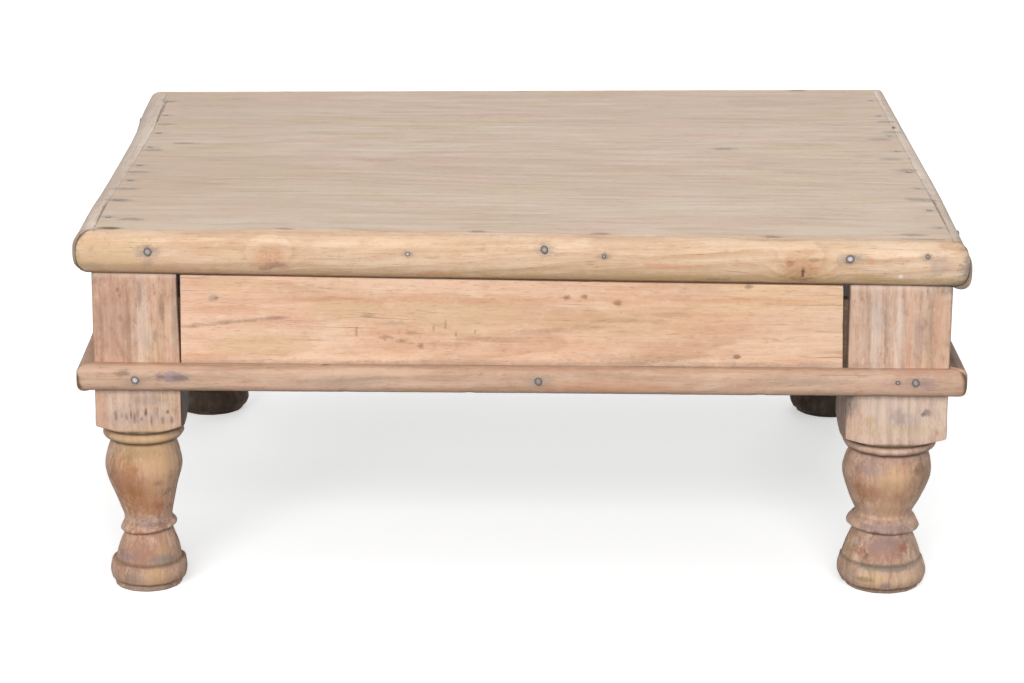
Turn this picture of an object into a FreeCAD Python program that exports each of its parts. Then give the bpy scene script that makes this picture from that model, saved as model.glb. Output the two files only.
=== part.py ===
import FreeCAD, Part
import math
import os

os.makedirs("parts", exist_ok=True)

# A bajot: a low table of old wood, made by hand. Lengths are in millimetres.
# X runs along the table's length, Y along its depth with the front at -Y, and Z up from the floor.
# The origin is on the floor under the middle of the table.

# The whole table
top_length = 600.0
top_depth = 485.0
table_height = 258.0

# The planked top. It has gone into wind: the front left corner stands high and the front right
# corner low, and the rear corners go the other way.
board_thickness = 32.0
front_wind = 4.0
rear_wind = 2.5
plank_width_shares = (0.235, 0.243, 0.250, 0.272)

# The bullnosed edging round the planks. Its nose is a little fuller above than below.
edging_width = 16.0
nose_upper_radius = 12.5
nose_lower_radius = 15.5

# The posts, squared above and turned below. The front left leg is the slim one.
post_setback = 10.5
slim_post_width = 58.0
slim_post_depth = 56.0
stout_post_width = 69.0
stout_post_depth = 64.0
post_arris_radius = 1.5

# The turned length of a leg, from the floor to the flat underside of its square block. The lathe
# has rounded the block's lower corners.
slim_turned_height = 116.5
slim_turned_radius = 26.5
stout_turned_height = 109.0
stout_turned_radius = 30.8
shoulder_radius = 7.0

# The outline of a leg, as shares of its turned radius and of its turned height, from the floor up
slim_outline_shares = {
    "floor": (0.860, 0.000),
    "foot_high": (0.875, 0.036),
    "band_low": (0.955, 0.046),
    "band_middle": (1.000, 0.095),
    "band_high": (0.955, 0.150),
    "bell_low": (0.865, 0.160),
    "bell_middle": (0.760, 0.245),
    "bell_high": (0.630, 0.335),
    "ring_low": (0.690, 0.342),
    "ring_middle": (0.735, 0.363),
    "ring_high": (0.680, 0.390),
    "neck_low": (0.640, 0.400),
    "neck": (0.635, 0.440),
    "vase_low": (0.797, 0.570),
    "vase_middle": (0.996, 0.728),
    "vase_shoulder": (0.940, 0.830),
    "vase_high": (0.840, 0.903),
    "groove_low": (0.800, 0.910),
    "groove_high": (0.800, 0.924),
    "collar_low": (1.000, 0.932),
    "collar_middle": (1.050, 0.955),
    "collar_high": (1.010, 0.978),
    "crease_low": (0.930, 0.985),
    "crease": (0.930, 1.000),
}
stout_outline_shares = {
    "floor": (0.830, 0.000),
    "foot_high": (0.850, 0.028),
    "band_low": (0.940, 0.038),
    "band_middle": (1.000, 0.090),
    "band_high": (0.930, 0.180),
    "bell_low": (0.895, 0.189),
    "bell_middle": (0.800, 0.275),
    "bell_high": (0.640, 0.372),
    "ring_low": (0.775, 0.383),
    "ring_middle": (0.820, 0.410),
    "ring_high": (0.715, 0.458),
    "neck_low": (0.650, 0.468),
    "neck": (0.640, 0.500),
    "vase_low": (0.802, 0.596),
    "vase_middle": (0.985, 0.745),
    "vase_shoulder": (0.955, 0.845),
    "vase_high": (0.865, 0.906),
    "groove_low": (0.840, 0.914),
    "groove_high": (0.840, 0.928),
    "collar_low": (1.000, 0.937),
    "collar_middle": (1.050, 0.960),
    "collar_high": (1.020, 0.980),
    "crease_low": (0.950, 0.986),
    "crease": (0.950, 1.000),
}

# The rounded moulding that goes round the posts and aprons
moulding_projection = 11.5
moulding_height = 18.8
moulding_bottom_height = 148.5
moulding_upper_radius = 6.0
moulding_lower_radius = 7.0

# The aprons, and the tenons that enter the posts. An apron ends a little above the bottom of the
# moulding that covers it.
apron_thickness = 22.0
apron_bottom_lift = 1.5
tenon_thickness = 9.0
tenon_length = 32.0
tenon_bottom_shoulder = 10.0
tenon_top_shoulder = 14.0
mortise_end_clearance = 1.5

# The front apron has shrunk: how far its shoulders stand off the posts
left_gap_top = 3.6
left_gap_bottom = 1.5
right_gap_top = 5.0
right_gap_bottom = 2.8

# Hand-made iron nails with domed heads, and the smaller brads beside them
nail_head_radius = 2.8
nail_head_height = 1.4
nail_head_seat = 0.4
nail_shank_radius = 1.3
nail_point_length = 5.0
edging_nail_length = 33.0
moulding_nail_length = 28.0
board_nail_length = 44.0
board_nail_head_radius = 2.6
board_nail_head_height = 0.9
board_nail_head_seat = 0.6
brad_head_radius = 1.6
brad_head_height = 0.8
brad_head_seat = 0.25
brad_shank_radius = 0.7
brad_length = 24.0

# Where the nails go, as shares of half the length or half the depth, from the middle.
# The angles tell how far up the nose's upper round a nail is driven.
front_edging_nail_shares = (-0.826, 0.047, 0.724)
front_edging_nail_angles = (2.0, 22.0, 8.0)
front_edging_brad_shares = (-0.257, 0.180, 0.887)
front_edging_brad_angles = (1.5, 4.0, 19.0)
rear_edging_nail_shares = (-0.790, -0.060, 0.810)
rear_edging_nail_angles = (7.0, 2.0, 9.0)
side_edging_nail_shares = (-0.700, 0.680)
side_edging_nail_angles = (4.0, 8.0)
front_moulding_nail_shares = (-0.870, 0.036, 0.885)
front_moulding_brad_shares = (0.845,)
rear_moulding_nail_shares = (-0.880, 0.020, 0.870)
side_moulding_nail_shares = (-0.840, 0.030, 0.850)
board_nail_width_shares = (0.28, 0.72)
board_nail_line_share = 0.5

# Where on a nail's head its dome bulges most, from the crown to the rim, and by how much of the
# head's height
dome_share = 0.5
dome_bulge_share = 0.125

# How far a cutting shape runs past what it cuts
overrun = 10.0


def vector(x, y, z):
    return FreeCAD.Vector(x, y, z)


def surface_height(x, y):
    """The height of the top's upper surface, which lies in wind."""
    along = x / (top_length / 2)
    back = (y + top_depth / 2) / top_depth
    front = (top_depth / 2 - y) / top_depth
    return table_height - along * (front * front_wind - back * rear_wind)


def blank_top():
    """Where posts and aprons end before they are trimmed: half way up the thickness of the top."""
    return table_height - board_thickness / 2


def cut_away(shape, tools):
    """Cut a shape with those of the tools that come near it."""
    near = [tool for tool in tools if tool.BoundBox.intersect(shape.BoundBox)]
    return shape.cut(near) if near else shape


def box_between(low, high):
    return Part.makeBox(high[0] - low[0], high[1] - low[1], high[2] - low[2], vector(*low))


def closed_wire(points):
    return Part.makePolygon([vector(*point) for point in points] + [vector(*points[0])])


def plan_prism(points, low, high):
    """An upright prism over an outline seen from above."""
    outline = closed_wire([(x, y, low) for x, y in points])
    return Part.Face(outline).extrude(vector(0, 0, high - low))


def wound_block(low_x, high_x, low_y, high_y):
    """A stretch of the top between two lengths and two depths. It is twisted by the wind, so each
    of its broad faces is a pair of triangles that meet along a diagonal."""
    plan = [(low_x, low_y), (high_x, low_y), (high_x, high_y), (low_x, high_y)]
    upper = [vector(x, y, surface_height(x, y)) for x, y in plan]
    lower = [point - vector(0, 0, board_thickness) for point in upper]
    outlines = []
    for corners in (upper, lower):
        outlines.append([corners[0], corners[1], corners[2]])
        outlines.append([corners[0], corners[2], corners[3]])
    for first, second in ((0, 1), (1, 2), (2, 3), (3, 0)):
        outlines.append([lower[first], lower[second], upper[second], upper[first]])
    faces = [Part.Face(Part.makePolygon(outline + outline[:1])) for outline in outlines]
    return Part.makeSolid(Part.makeShell(faces))


def make_planks():
    inner_x = top_length / 2 - edging_width
    inner_y = top_depth / 2 - edging_width
    planks = {}
    edge = -inner_y
    for number, share in enumerate(plank_width_shares, 1):
        far_edge = edge + share * 2 * inner_y
        planks["top_plank_%d" % number] = wound_block(-inner_x, inner_x, edge, far_edge)
        edge = far_edge
    return planks


def make_borders():
    """The room that the top takes up outside the planks, all round."""
    inner_x = top_length / 2 - edging_width
    inner_y = top_depth / 2 - edging_width
    far_x = top_length / 2 + overrun
    far_y = top_depth / 2 + overrun
    return [wound_block(-far_x, far_x, -far_y, -inner_y), wound_block(-far_x, far_x, inner_y, far_y),
            wound_block(-far_x, -inner_x, -inner_y, inner_y),
            wound_block(inner_x, far_x, -inner_y, inner_y)]


def straight(start, end):
    return Part.LineSegment(start, end).toShape()


def strip_face(out, back, low, high, upper_radius, lower_radius):
    """The section of a strip at the front, in the plane X = 0: flat at the back, with a round at
    the top and at the bottom of its outer side."""
    slant = math.sqrt(0.5)
    upper = vector(0, out + upper_radius, high - upper_radius)
    lower = vector(0, out + lower_radius, low + lower_radius)
    upper_start = upper + vector(0, 0, upper_radius)
    upper_middle = upper + vector(0, -slant, slant) * upper_radius
    upper_end = upper - vector(0, upper_radius, 0)
    lower_start = lower - vector(0, lower_radius, 0)
    lower_middle = lower - vector(0, slant, slant) * lower_radius
    lower_end = lower - vector(0, 0, lower_radius)
    edges = [
        straight(vector(0, back, high), upper_start),
        Part.Arc(upper_start, upper_middle, upper_end).toShape(),
        straight(upper_end, lower_start),
        Part.Arc(lower_start, lower_middle, lower_end).toShape(),
        straight(lower_end, vector(0, back, low)),
        straight(vector(0, back, low), vector(0, back, high)),
    ]
    return Part.Face(Part.Wire(edges))


def mitred_plan(half_length, outer, width):
    """A strip at the front with its ends cut at 45 degrees, seen from above."""
    return [(-half_length, -outer), (half_length, -outer),
            (half_length - width, -outer + width), (-half_length + width, -outer + width)]


def turned_to(side, shape):
    """Turn a strip made at the front to its side of the table."""
    turns = {"front": 0, "right": 90, "rear": 180, "left": 270}
    shape.rotate(vector(0, 0, 0), vector(0, 0, 1), turns[side])
    return shape


def turned_point(side, x, y):
    """Where a point of a strip made at the front comes to lie."""
    return {"front": (x, y), "right": (-y, x), "rear": (-x, -y), "left": (y, -x)}[side]


def half_sizes(side):
    """Half the length of the side's own strip, and its distance from the middle."""
    if side in ("front", "rear"):
        return top_length / 2, top_depth / 2
    return top_depth / 2, top_length / 2


def make_edging(side):
    half_length, outer = half_sizes(side)
    seam = outer - edging_width
    start_height = surface_height(*turned_point(side, -half_length, -seam))
    end_height = surface_height(*turned_point(side, half_length, -seam))
    slope = (end_height - start_height) / (2 * half_length)
    reach = half_length + overrun
    high = (start_height + end_height) / 2 - slope * reach
    section = strip_face(-outer, -seam, high - board_thickness, high, nose_upper_radius,
                         nose_lower_radius)
    section.translate(vector(-reach, 0, 0))
    strip = section.extrude(vector(2 * reach, 0, slope * 2 * reach))
    plan = mitred_plan(half_length, outer, edging_width)
    strip = strip.common(plan_prism(plan, 0, table_height + board_thickness))
    return turned_to(side, strip)


def make_moulding(side):
    half_length, outer = half_sizes(side)
    back = outer - post_setback
    out = back + moulding_projection
    half_outer_length = half_length - post_setback + moulding_projection
    low = moulding_bottom_height
    high = low + moulding_height
    section = strip_face(-out, -back, low, high, moulding_upper_radius, moulding_lower_radius)
    section.translate(vector(-half_outer_length, 0, 0))
    strip = section.extrude(vector(2 * half_outer_length, 0, 0))
    plan = mitred_plan(half_outer_length, out, moulding_projection)
    strip = strip.common(plan_prism(plan, low - overrun, high + overrun))
    return turned_to(side, strip)


def smooth(points):
    curve = Part.BSplineCurve()
    curve.interpolate(Points=points)
    return curve.toShape()


def turned_form(shares, radius, height, reach, top):
    """Everything inside the lathe's cut: the turned leg, and room for the square post above it."""
    at = {name: vector(share[0] * radius, 0, share[1] * height) for name, share in shares.items()}
    upright = vector(0, 0, 1)
    diagonal = math.sqrt(0.5)
    shoulder_centre = vector(reach - shoulder_radius, 0, height + shoulder_radius)
    shoulder_start = shoulder_centre - upright * shoulder_radius
    shoulder_middle = shoulder_centre + vector(diagonal, 0, -diagonal) * shoulder_radius
    shoulder = vector(reach, 0, height + shoulder_radius)
    edges = [
        straight(vector(0, 0, 0), at["floor"]),
        straight(at["floor"], at["foot_high"]),
        straight(at["foot_high"], at["band_low"]),
        Part.Arc(at["band_low"], at["band_middle"], at["band_high"]).toShape(),
        straight(at["band_high"], at["bell_low"]),
        Part.Arc(at["bell_low"], at["bell_middle"], at["bell_high"]).toShape(),
        straight(at["bell_high"], at["ring_low"]),
        Part.Arc(at["ring_low"], at["ring_middle"], at["ring_high"]).toShape(),
        straight(at["ring_high"], at["neck_low"]),
        smooth([at["neck_low"], at["neck"], at["vase_low"], at["vase_middle"],
                at["vase_shoulder"], at["vase_high"]]),
        straight(at["vase_high"], at["groove_low"]),
        straight(at["groove_low"], at["groove_high"]),
        straight(at["groove_high"], at["collar_low"]),
        Part.Arc(at["collar_low"], at["collar_middle"], at["collar_high"]).toShape(),
        straight(at["collar_high"], at["crease_low"]),
        straight(at["crease_low"], at["crease"]),
        straight(at["crease"], shoulder_start),
        Part.Arc(shoulder_start, shoulder_middle, shoulder).toShape(),
        straight(shoulder, vector(reach, 0, top)),
        straight(vector(reach, 0, top), upright * top),
        straight(upright * top, vector(0, 0, 0)),
    ]
    return Part.Face(Part.Wire(edges)).revolve(vector(0, 0, 0), upright, 360)


class Leg:
    """One leg: its corner of the frame, its section, and how it is turned."""

    def __init__(self, name, side_x, side_y, stout):
        self.name = name
        self.side_x = side_x
        self.side_y = side_y
        self.width = stout_post_width if stout else slim_post_width
        self.depth = stout_post_depth if stout else slim_post_depth
        self.turned_height = stout_turned_height if stout else slim_turned_height
        self.turned_radius = stout_turned_radius if stout else slim_turned_radius
        self.shares = stout_outline_shares if stout else slim_outline_shares
        self.outer_x = side_x * (top_length / 2 - post_setback)
        self.outer_y = side_y * (top_depth / 2 - post_setback)
        self.inner_x = self.outer_x - side_x * self.width
        self.inner_y = self.outer_y - side_y * self.depth

    def build(self):
        low = (min(self.outer_x, self.inner_x), min(self.outer_y, self.inner_y), 0)
        top = blank_top()
        high = (low[0] + self.width, low[1] + self.depth, top)
        blank = box_between(low, high)
        upright = [edge for edge in blank.Edges if edge.Length > top - overrun]
        blank = blank.makeFillet(post_arris_radius, upright)
        reach = math.hypot(self.width, self.depth) / 2
        turned = turned_form(self.shares, self.turned_radius, self.turned_height, reach, top)
        turned.translate(vector(low[0] + self.width / 2, low[1] + self.depth / 2, 0))
        return blank.common(turned)


LEGS = {
    "front_left_leg": Leg("front_left_leg", -1, -1, False),
    "front_right_leg": Leg("front_right_leg", 1, -1, True),
    "rear_left_leg": Leg("rear_left_leg", -1, 1, True),
    "rear_right_leg": Leg("rear_right_leg", 1, 1, True),
}


def long_apron(left_leg, right_leg, gaps):
    """The front or rear apron, seen from the front: its outline, with tenons, in the plane Y = 0."""
    left_top, left_bottom, right_top, right_bottom = gaps
    low = apron_bottom()
    high = blank_top()
    left = left_leg.inner_x
    right = right_leg.inner_x
    panel = [(left + left_bottom, 0, low), (right - right_bottom, 0, low),
             (right - right_top, 0, high), (left + left_top, 0, high)]
    face = left_leg.outer_y
    inward = -left_leg.side_y * apron_thickness
    body = Part.Face(closed_wire(panel)).extrude(vector(0, inward, 0))
    body.translate(vector(0, face, 0))
    tenon_face = face - left_leg.side_y * (apron_thickness - tenon_thickness) / 2
    back_face = tenon_face - left_leg.side_y * tenon_thickness
    tenon = box_between((left - tenon_length, min(tenon_face, back_face), tenon_low()),
                        (right + tenon_length, max(tenon_face, back_face), tenon_high()))
    mortise = box_between((left - tenon_length - mortise_end_clearance,
                           min(tenon_face, back_face), tenon_low()),
                          (right + tenon_length + mortise_end_clearance,
                           max(tenon_face, back_face), tenon_high()))
    return body.fuse(tenon).removeSplitter(), mortise


def side_apron(front_leg, rear_leg):
    """The left or right apron, tight between its posts, and the room for its tenons."""
    low = apron_bottom()
    face = front_leg.outer_x
    inward = -front_leg.side_x
    inner_face = face + inward * apron_thickness
    body = box_between((min(face, inner_face), front_leg.inner_y, low),
                       (max(face, inner_face), rear_leg.inner_y, blank_top()))
    tenon_face = face + inward * (apron_thickness - tenon_thickness) / 2
    back_face = tenon_face + inward * tenon_thickness
    near = min(tenon_face, back_face)
    far = max(tenon_face, back_face)
    tenon = box_between((near, front_leg.inner_y - tenon_length, tenon_low()),
                        (far, rear_leg.inner_y + tenon_length, tenon_high()))
    mortise = box_between((near, front_leg.inner_y - tenon_length - mortise_end_clearance,
                           tenon_low()),
                          (far, rear_leg.inner_y + tenon_length + mortise_end_clearance,
                           tenon_high()))
    return body.fuse(tenon).removeSplitter(), mortise


def apron_bottom():
    return moulding_bottom_height + apron_bottom_lift


def tenon_low():
    return apron_bottom() + tenon_bottom_shoulder


def tenon_high():
    return table_height - board_thickness - tenon_top_shoulder


def make_frame(cover):
    """The legs and aprons, jointed together and trimmed to the underside of the top."""
    tight = (0, 0, 0, 0)
    front_gaps = (left_gap_top, left_gap_bottom, right_gap_top, right_gap_bottom)
    aprons = {
        "front_apron": long_apron(LEGS["front_left_leg"], LEGS["front_right_leg"], front_gaps),
        "rear_apron": long_apron(LEGS["rear_left_leg"], LEGS["rear_right_leg"], tight),
        "left_apron": side_apron(LEGS["front_left_leg"], LEGS["rear_left_leg"]),
        "right_apron": side_apron(LEGS["front_right_leg"], LEGS["rear_right_leg"]),
    }
    mortises = [mortise for apron, mortise in aprons.values()]
    frame = {}
    for name, leg in LEGS.items():
        frame[name] = cut_away(cut_away(leg.build(), mortises), cover)
    for name, (apron, mortise) in aprons.items():
        frame[name] = cut_away(apron, cover)
    return frame


def make_nail(point, direction, head_radius, head_height, seat, shank_radius, length):
    """A nail whose head sits at a point of the surface and whose shank goes in along a direction."""
    crown = vector(0, 0, seat - head_height)
    rim = vector(head_radius, 0, seat)
    between = crown * (1 - dome_share) + rim * dome_share
    shoulder = between - vector(0, 0, dome_bulge_share * head_height)
    point_start = vector(shank_radius, 0, length - nail_point_length)
    edges = [
        Part.Arc(crown, shoulder, rim).toShape(),
        straight(rim, vector(shank_radius, 0, seat)),
        straight(vector(shank_radius, 0, seat), point_start),
        straight(point_start, vector(0, 0, length)),
        straight(vector(0, 0, length), crown),
    ]
    nail = Part.Face(Part.Wire(edges)).revolve(vector(0, 0, 0), vector(0, 0, 1), 360)
    turn = FreeCAD.Rotation(vector(0, 0, 1), vector(*direction))
    nail.Placement = FreeCAD.Placement(vector(*point), turn)
    return nail


def edging_nails(side, shares, angles, brads=False):
    """Nails through the bullnose of one edging, each square to the curve where it goes in."""
    half_length, outer = half_sizes(side)
    nails = []
    for share, degrees in zip(shares, angles):
        x = share * half_length
        seam = outer - edging_width
        centre_height = surface_height(*turned_point(side, x, -seam)) - nose_upper_radius
        angle = math.radians(degrees)
        point = (x, -outer + nose_upper_radius * (1 - math.cos(angle)),
                 centre_height + nose_upper_radius * math.sin(angle))
        direction = (0, math.cos(angle), -math.sin(angle))
        nails.append(strip_nail(point, direction, edging_nail_length, brads))
    return turned_to(side, Part.makeCompound(nails))


def strip_nail(point, direction, length, brads):
    if brads:
        return make_nail(point, direction, brad_head_radius, brad_head_height, brad_head_seat,
                         brad_shank_radius, brad_length)
    return make_nail(point, direction, nail_head_radius, nail_head_height, nail_head_seat,
                     nail_shank_radius, length)


def moulding_nails(side, shares, brads=False):
    half_length, outer = half_sizes(side)
    face = -(outer - post_setback + moulding_projection)
    lower_edge = moulding_bottom_height + moulding_lower_radius
    upper_edge = moulding_bottom_height + moulding_height - moulding_upper_radius
    height = (lower_edge + upper_edge) / 2
    nails = [strip_nail((share * half_length, face, height), (0, 1, 0), moulding_nail_length, brads)
             for share in shares]
    return turned_to(side, Part.makeCompound(nails))


def board_nails(side_x):
    """Flat nails down through the ends of the planks into the apron under them."""
    frame_face = side_x * (top_length / 2 - post_setback)
    x = frame_face - side_x * board_nail_line_share * apron_thickness
    inner_y = top_depth / 2 - edging_width
    nails = []
    edge = -inner_y
    for share in plank_width_shares:
        width = share * 2 * inner_y
        for place in board_nail_width_shares:
            y = edge + place * width
            point = (x, y, surface_height(x, y))
            nails.append(make_nail(point, (0, 0, -1), board_nail_head_radius, board_nail_head_height,
                                   board_nail_head_seat, nail_shank_radius, board_nail_length))
        edge += width
    return Part.makeCompound(nails)


def make_all_nails():
    return {
        "front_edging_nails": edging_nails("front", front_edging_nail_shares,
                                           front_edging_nail_angles),
        "front_edging_brads": edging_nails("front", front_edging_brad_shares,
                                           front_edging_brad_angles, True),
        "rear_edging_nails": edging_nails("rear", rear_edging_nail_shares, rear_edging_nail_angles),
        "left_edging_nails": edging_nails("left", side_edging_nail_shares, side_edging_nail_angles),
        "right_edging_nails": edging_nails("right", side_edging_nail_shares,
                                           side_edging_nail_angles),
        "front_moulding_nails": moulding_nails("front", front_moulding_nail_shares),
        "front_moulding_brads": moulding_nails("front", front_moulding_brad_shares, True),
        "rear_moulding_nails": moulding_nails("rear", rear_moulding_nail_shares),
        "left_moulding_nails": moulding_nails("left", side_moulding_nail_shares),
        "right_moulding_nails": moulding_nails("right", side_moulding_nail_shares),
        "left_board_nails": board_nails(-1),
        "right_board_nails": board_nails(1),
    }


def write_step(name, shape):
    shape.exportStep("parts/%s.step" % name)
    print("%s: %d solids, %.0f cubic mm" % (name, len(shape.Solids), shape.Volume))


planks = make_planks()
wood = dict(planks)
wood.update(make_frame(list(planks.values()) + make_borders()))
for side in ("front", "rear", "left", "right"):
    wood[side + "_edging"] = make_edging(side)
    wood[side + "_moulding"] = make_moulding(side)
nails = make_all_nails()

single_nails = [nail for group in nails.values() for nail in group.Solids]

for name, shape in wood.items():
    write_step(name, cut_away(shape, single_nails))
for name, group in nails.items():
    write_step(name, group)
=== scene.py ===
# %% [markdown]
# A bajot is a low floor table, made by hand from old hardwood and since bleached by wear. The
# imported CAD model is loaded first and is never changed: it is the bench on which each piece of
# this scene is laid. Everything here is in metres, with X along the table, the front at -Y and
# the floor at Z = 0. The CAD box is kept: no piece reaches outside it.

# %% Load the frame
import bmesh
import bpy
import math
from mathutils import Matrix, Vector, noise


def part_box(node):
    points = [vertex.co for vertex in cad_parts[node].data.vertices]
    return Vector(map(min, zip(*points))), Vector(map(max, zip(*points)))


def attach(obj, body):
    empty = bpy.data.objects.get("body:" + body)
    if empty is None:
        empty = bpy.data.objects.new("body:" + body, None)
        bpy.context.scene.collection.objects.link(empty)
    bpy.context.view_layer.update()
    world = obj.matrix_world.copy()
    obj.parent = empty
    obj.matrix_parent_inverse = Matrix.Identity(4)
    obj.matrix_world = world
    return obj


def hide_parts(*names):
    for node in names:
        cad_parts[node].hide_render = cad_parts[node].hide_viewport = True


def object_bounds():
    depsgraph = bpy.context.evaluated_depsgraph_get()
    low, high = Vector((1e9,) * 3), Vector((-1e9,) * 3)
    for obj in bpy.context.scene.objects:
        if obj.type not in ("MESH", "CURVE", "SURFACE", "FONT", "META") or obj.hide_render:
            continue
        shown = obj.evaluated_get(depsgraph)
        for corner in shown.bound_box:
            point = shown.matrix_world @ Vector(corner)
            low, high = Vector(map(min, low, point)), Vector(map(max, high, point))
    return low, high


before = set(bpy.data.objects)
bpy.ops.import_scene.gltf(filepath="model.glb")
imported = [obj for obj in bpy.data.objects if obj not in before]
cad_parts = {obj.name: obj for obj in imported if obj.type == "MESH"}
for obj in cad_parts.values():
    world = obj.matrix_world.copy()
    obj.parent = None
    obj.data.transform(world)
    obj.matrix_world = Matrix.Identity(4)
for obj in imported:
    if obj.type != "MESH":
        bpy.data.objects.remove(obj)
cad_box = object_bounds()
mm = 0.001
scene = bpy.context.scene
print("CAD box in mm:", [[round(value / mm, 1) for value in corner] for corner in cad_box])

# %% [markdown]
# The photograph was taken with a long lens from in front, a little above the table. A camera in
# Blender looks along its own -Z with +Y up, so its turn is built from three arrows: the way it
# looks, the way that is right in the picture, and the way that is up. The numbers come from
# lining up the edges of the table with those of the photograph.

# %% Camera
picture_width = 1024
focal_pixels = 3200.0
sensor_width = 36.0
camera_place = Vector((-23.0, -2305.0, 795.0)) * mm
camera_yaw = math.radians(-0.44)
camera_pitch = math.radians(16.44)
camera_roll = math.radians(0.35)

looking = Vector((-math.sin(camera_yaw) * math.cos(camera_pitch),
                  math.cos(camera_yaw) * math.cos(camera_pitch),
                  -math.sin(camera_pitch)))
level_right = Vector((math.cos(camera_yaw), math.sin(camera_yaw), 0.0))
level_up = level_right.cross(looking)
right = level_right * math.cos(camera_roll) + level_up * math.sin(camera_roll)
up = right.cross(looking)

camera_data = bpy.data.cameras.new("camera")
camera_data.sensor_fit = "HORIZONTAL"
camera_data.sensor_width = sensor_width
camera_data.lens = focal_pixels / picture_width * sensor_width
camera = bpy.data.objects.new("camera", camera_data)
turn = Matrix((right, up, -looking)).transposed().to_4x4()
camera.matrix_world = Matrix.Translation(camera_place) @ turn
scene.collection.objects.link(camera)
scene.camera = camera
print("lens in mm:", round(camera_data.lens, 1))

# %% [markdown]
# A material is a tree of nodes. Written out one by one, a tree for old wood runs to pages, so a
# few helpers come first: one adds a node with its inputs, and the others stand for what a painter
# asks for, such as a mix of two colours, a soft step, a cloud of noise, or a patch round a place.

# %% Helpers for materials
def shade(red, green, blue):
    """A colour as a paint program gives it, from 0 to 255, made linear for Blender."""
    shares = [value / 255 for value in (red, green, blue)]
    linear = [share / 12.92 if share < 0.04045 else ((share + 0.055) / 1.055) ** 2.4
              for share in shares]
    return (*linear, 1.0)


def add(tree, kind, inputs=None, **settings):
    """Adds a node, sets it up, and plugs in or writes each of its inputs."""
    node = tree.nodes.new("ShaderNode" + kind)
    for name, value in settings.items():
        setattr(node, name, value)
    for name, value in (inputs or {}).items():
        socket = node.inputs[name]
        if isinstance(value, bpy.types.NodeSocket):
            tree.links.new(value, socket)
        else:
            socket.default_value = value
    return node


def calc(tree, operation, *values):
    return add(tree, "Math", dict(enumerate(values)), operation=operation).outputs[0]


def calc_vector(tree, operation, *values):
    return add(tree, "VectorMath", dict(enumerate(values)), operation=operation).outputs[0]


def soft_step(tree, value, low, high, start=0.0, end=1.0):
    """Goes smoothly from start to end while the value goes from low to high."""
    node = add(tree, "MapRange", {"Value": value, "From Min": low, "From Max": high,
                                  "To Min": start, "To Max": end},
               interpolation_type="SMOOTHSTEP")
    return node.outputs[0]


def mix(tree, share, first, second):
    """The first colour, with a share of the second over it."""
    return add(tree, "Mix", {0: share, 6: first, 7: second}, data_type="RGBA").outputs[2]


def stretched(tree, place, grain, share):
    """Coordinates in which a pattern comes out long along the grain."""
    scales = [1.0, 1.0, 1.0]
    scales[grain] = share
    return add(tree, "Mapping", {"Vector": place, "Scale": scales}).outputs[0]


def cloud(tree, place, size, detail=2.0, rough=0.5):
    """Noise from 0 to 1 with patches of about this size in metres."""
    return add(tree, "TexNoise", {"Vector": place, "Scale": 1 / size, "Detail": detail,
                                  "Roughness": rough}).outputs[0]


def patch(tree, place, centre, size, ragged):
    """1 in the middle of an oval patch, and 0 outside it, with a ragged edge."""
    away = calc_vector(tree, "SUBTRACT", place, centre)
    scaled = calc_vector(tree, "DIVIDE", away, size)
    length = add(tree, "VectorMath", {0: scaled}, operation="LENGTH").outputs["Value"]
    return soft_step(tree, calc(tree, "ADD", length, ragged), 0.30, 1.0, 1.0, 0.0)


def attribute(tree, name):
    """A value that was written down at each vertex of the piece."""
    return add(tree, "Attribute", attribute_name=name).outputs["Fac"]


def bare_material(name):
    """A material with an empty tree of nodes."""
    material = bpy.data.materials.new(name)
    material.use_nodes = True
    material.node_tree.nodes.clear()
    return material, material.node_tree


print("a mid grey in linear light:", round(shade(128, 128, 128)[0], 3))

# %% [markdown]
# The wood is an old, pale hardwood, scrubbed and bleached until it is nearly dry. Its look comes
# in layers, and most of them are clouds of noise, drawn out long along the grain. All of them
# read Object coordinates, so the pattern runs through the piece as it does in a real board. The
# fibres of a tree don't run quite straight, so some clouds read coordinates that wander a little.

# %% Clouds in the wood
X_AXIS = 0
Y_AXIS = 1
Z_AXIS = 2
wander_size = 55 * mm
wander_reach = 9 * mm
wander_share = 0.30

# Whether a cloud follows the wandering grain, its scale along the grain, where a small one draws
# it out long, and then the size of its patches, its detail and its roughness
cloud_shares = {
    "blotches": (True, 0.45, 70 * mm, 4.0, 0.60),
    "blushes": (False, 0.50, 43 * mm, 3.0, 0.55),
    "golds": (False, 0.35, 31 * mm, 3.0, 0.55),
    "streaks": (True, 0.05, 4.5 * mm, 3.0, 0.60),
    "fibres": (True, 0.02, 0.8 * mm, 3.0, 0.65),
    "pores": (True, 0.07, 0.62 * mm, 1.0, 0.50),
    "splits": (True, 0.05, 11 * mm, 1.0, 0.50),
    "cracked": (False, 0.40, 34 * mm, 2.0, 0.50),
    "wobble": (False, 0.16, 26 * mm, 3.0, 0.55),
    "fading": (False, 0.25, 45 * mm, 2.0, 0.50),
    "smudges": (False, 0.60, 9 * mm, 4.0, 0.65),
    "crumbs": (False, 0.50, 1.9 * mm, 3.0, 0.70),
    "mottle": (False, 0.55, 5.5 * mm, 4.0, 0.70),
    "dust": (False, 1.00, 36 * mm, 3.0, 0.50),
}


def wandering(tree, straight, grain):
    """Coordinates that drift a little from place to place."""
    drift = add(tree, "TexNoise", {"Vector": stretched(tree, straight, grain, wander_share),
                                   "Scale": 1 / wander_size, "Detail": 2.0}).outputs["Color"]
    centred = calc_vector(tree, "SUBTRACT", drift, (0.5, 0.5, 0.5))
    wander = calc_vector(tree, "MULTIPLY", centred, (wander_reach,) * 3)
    return calc_vector(tree, "ADD", straight, wander)


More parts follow.
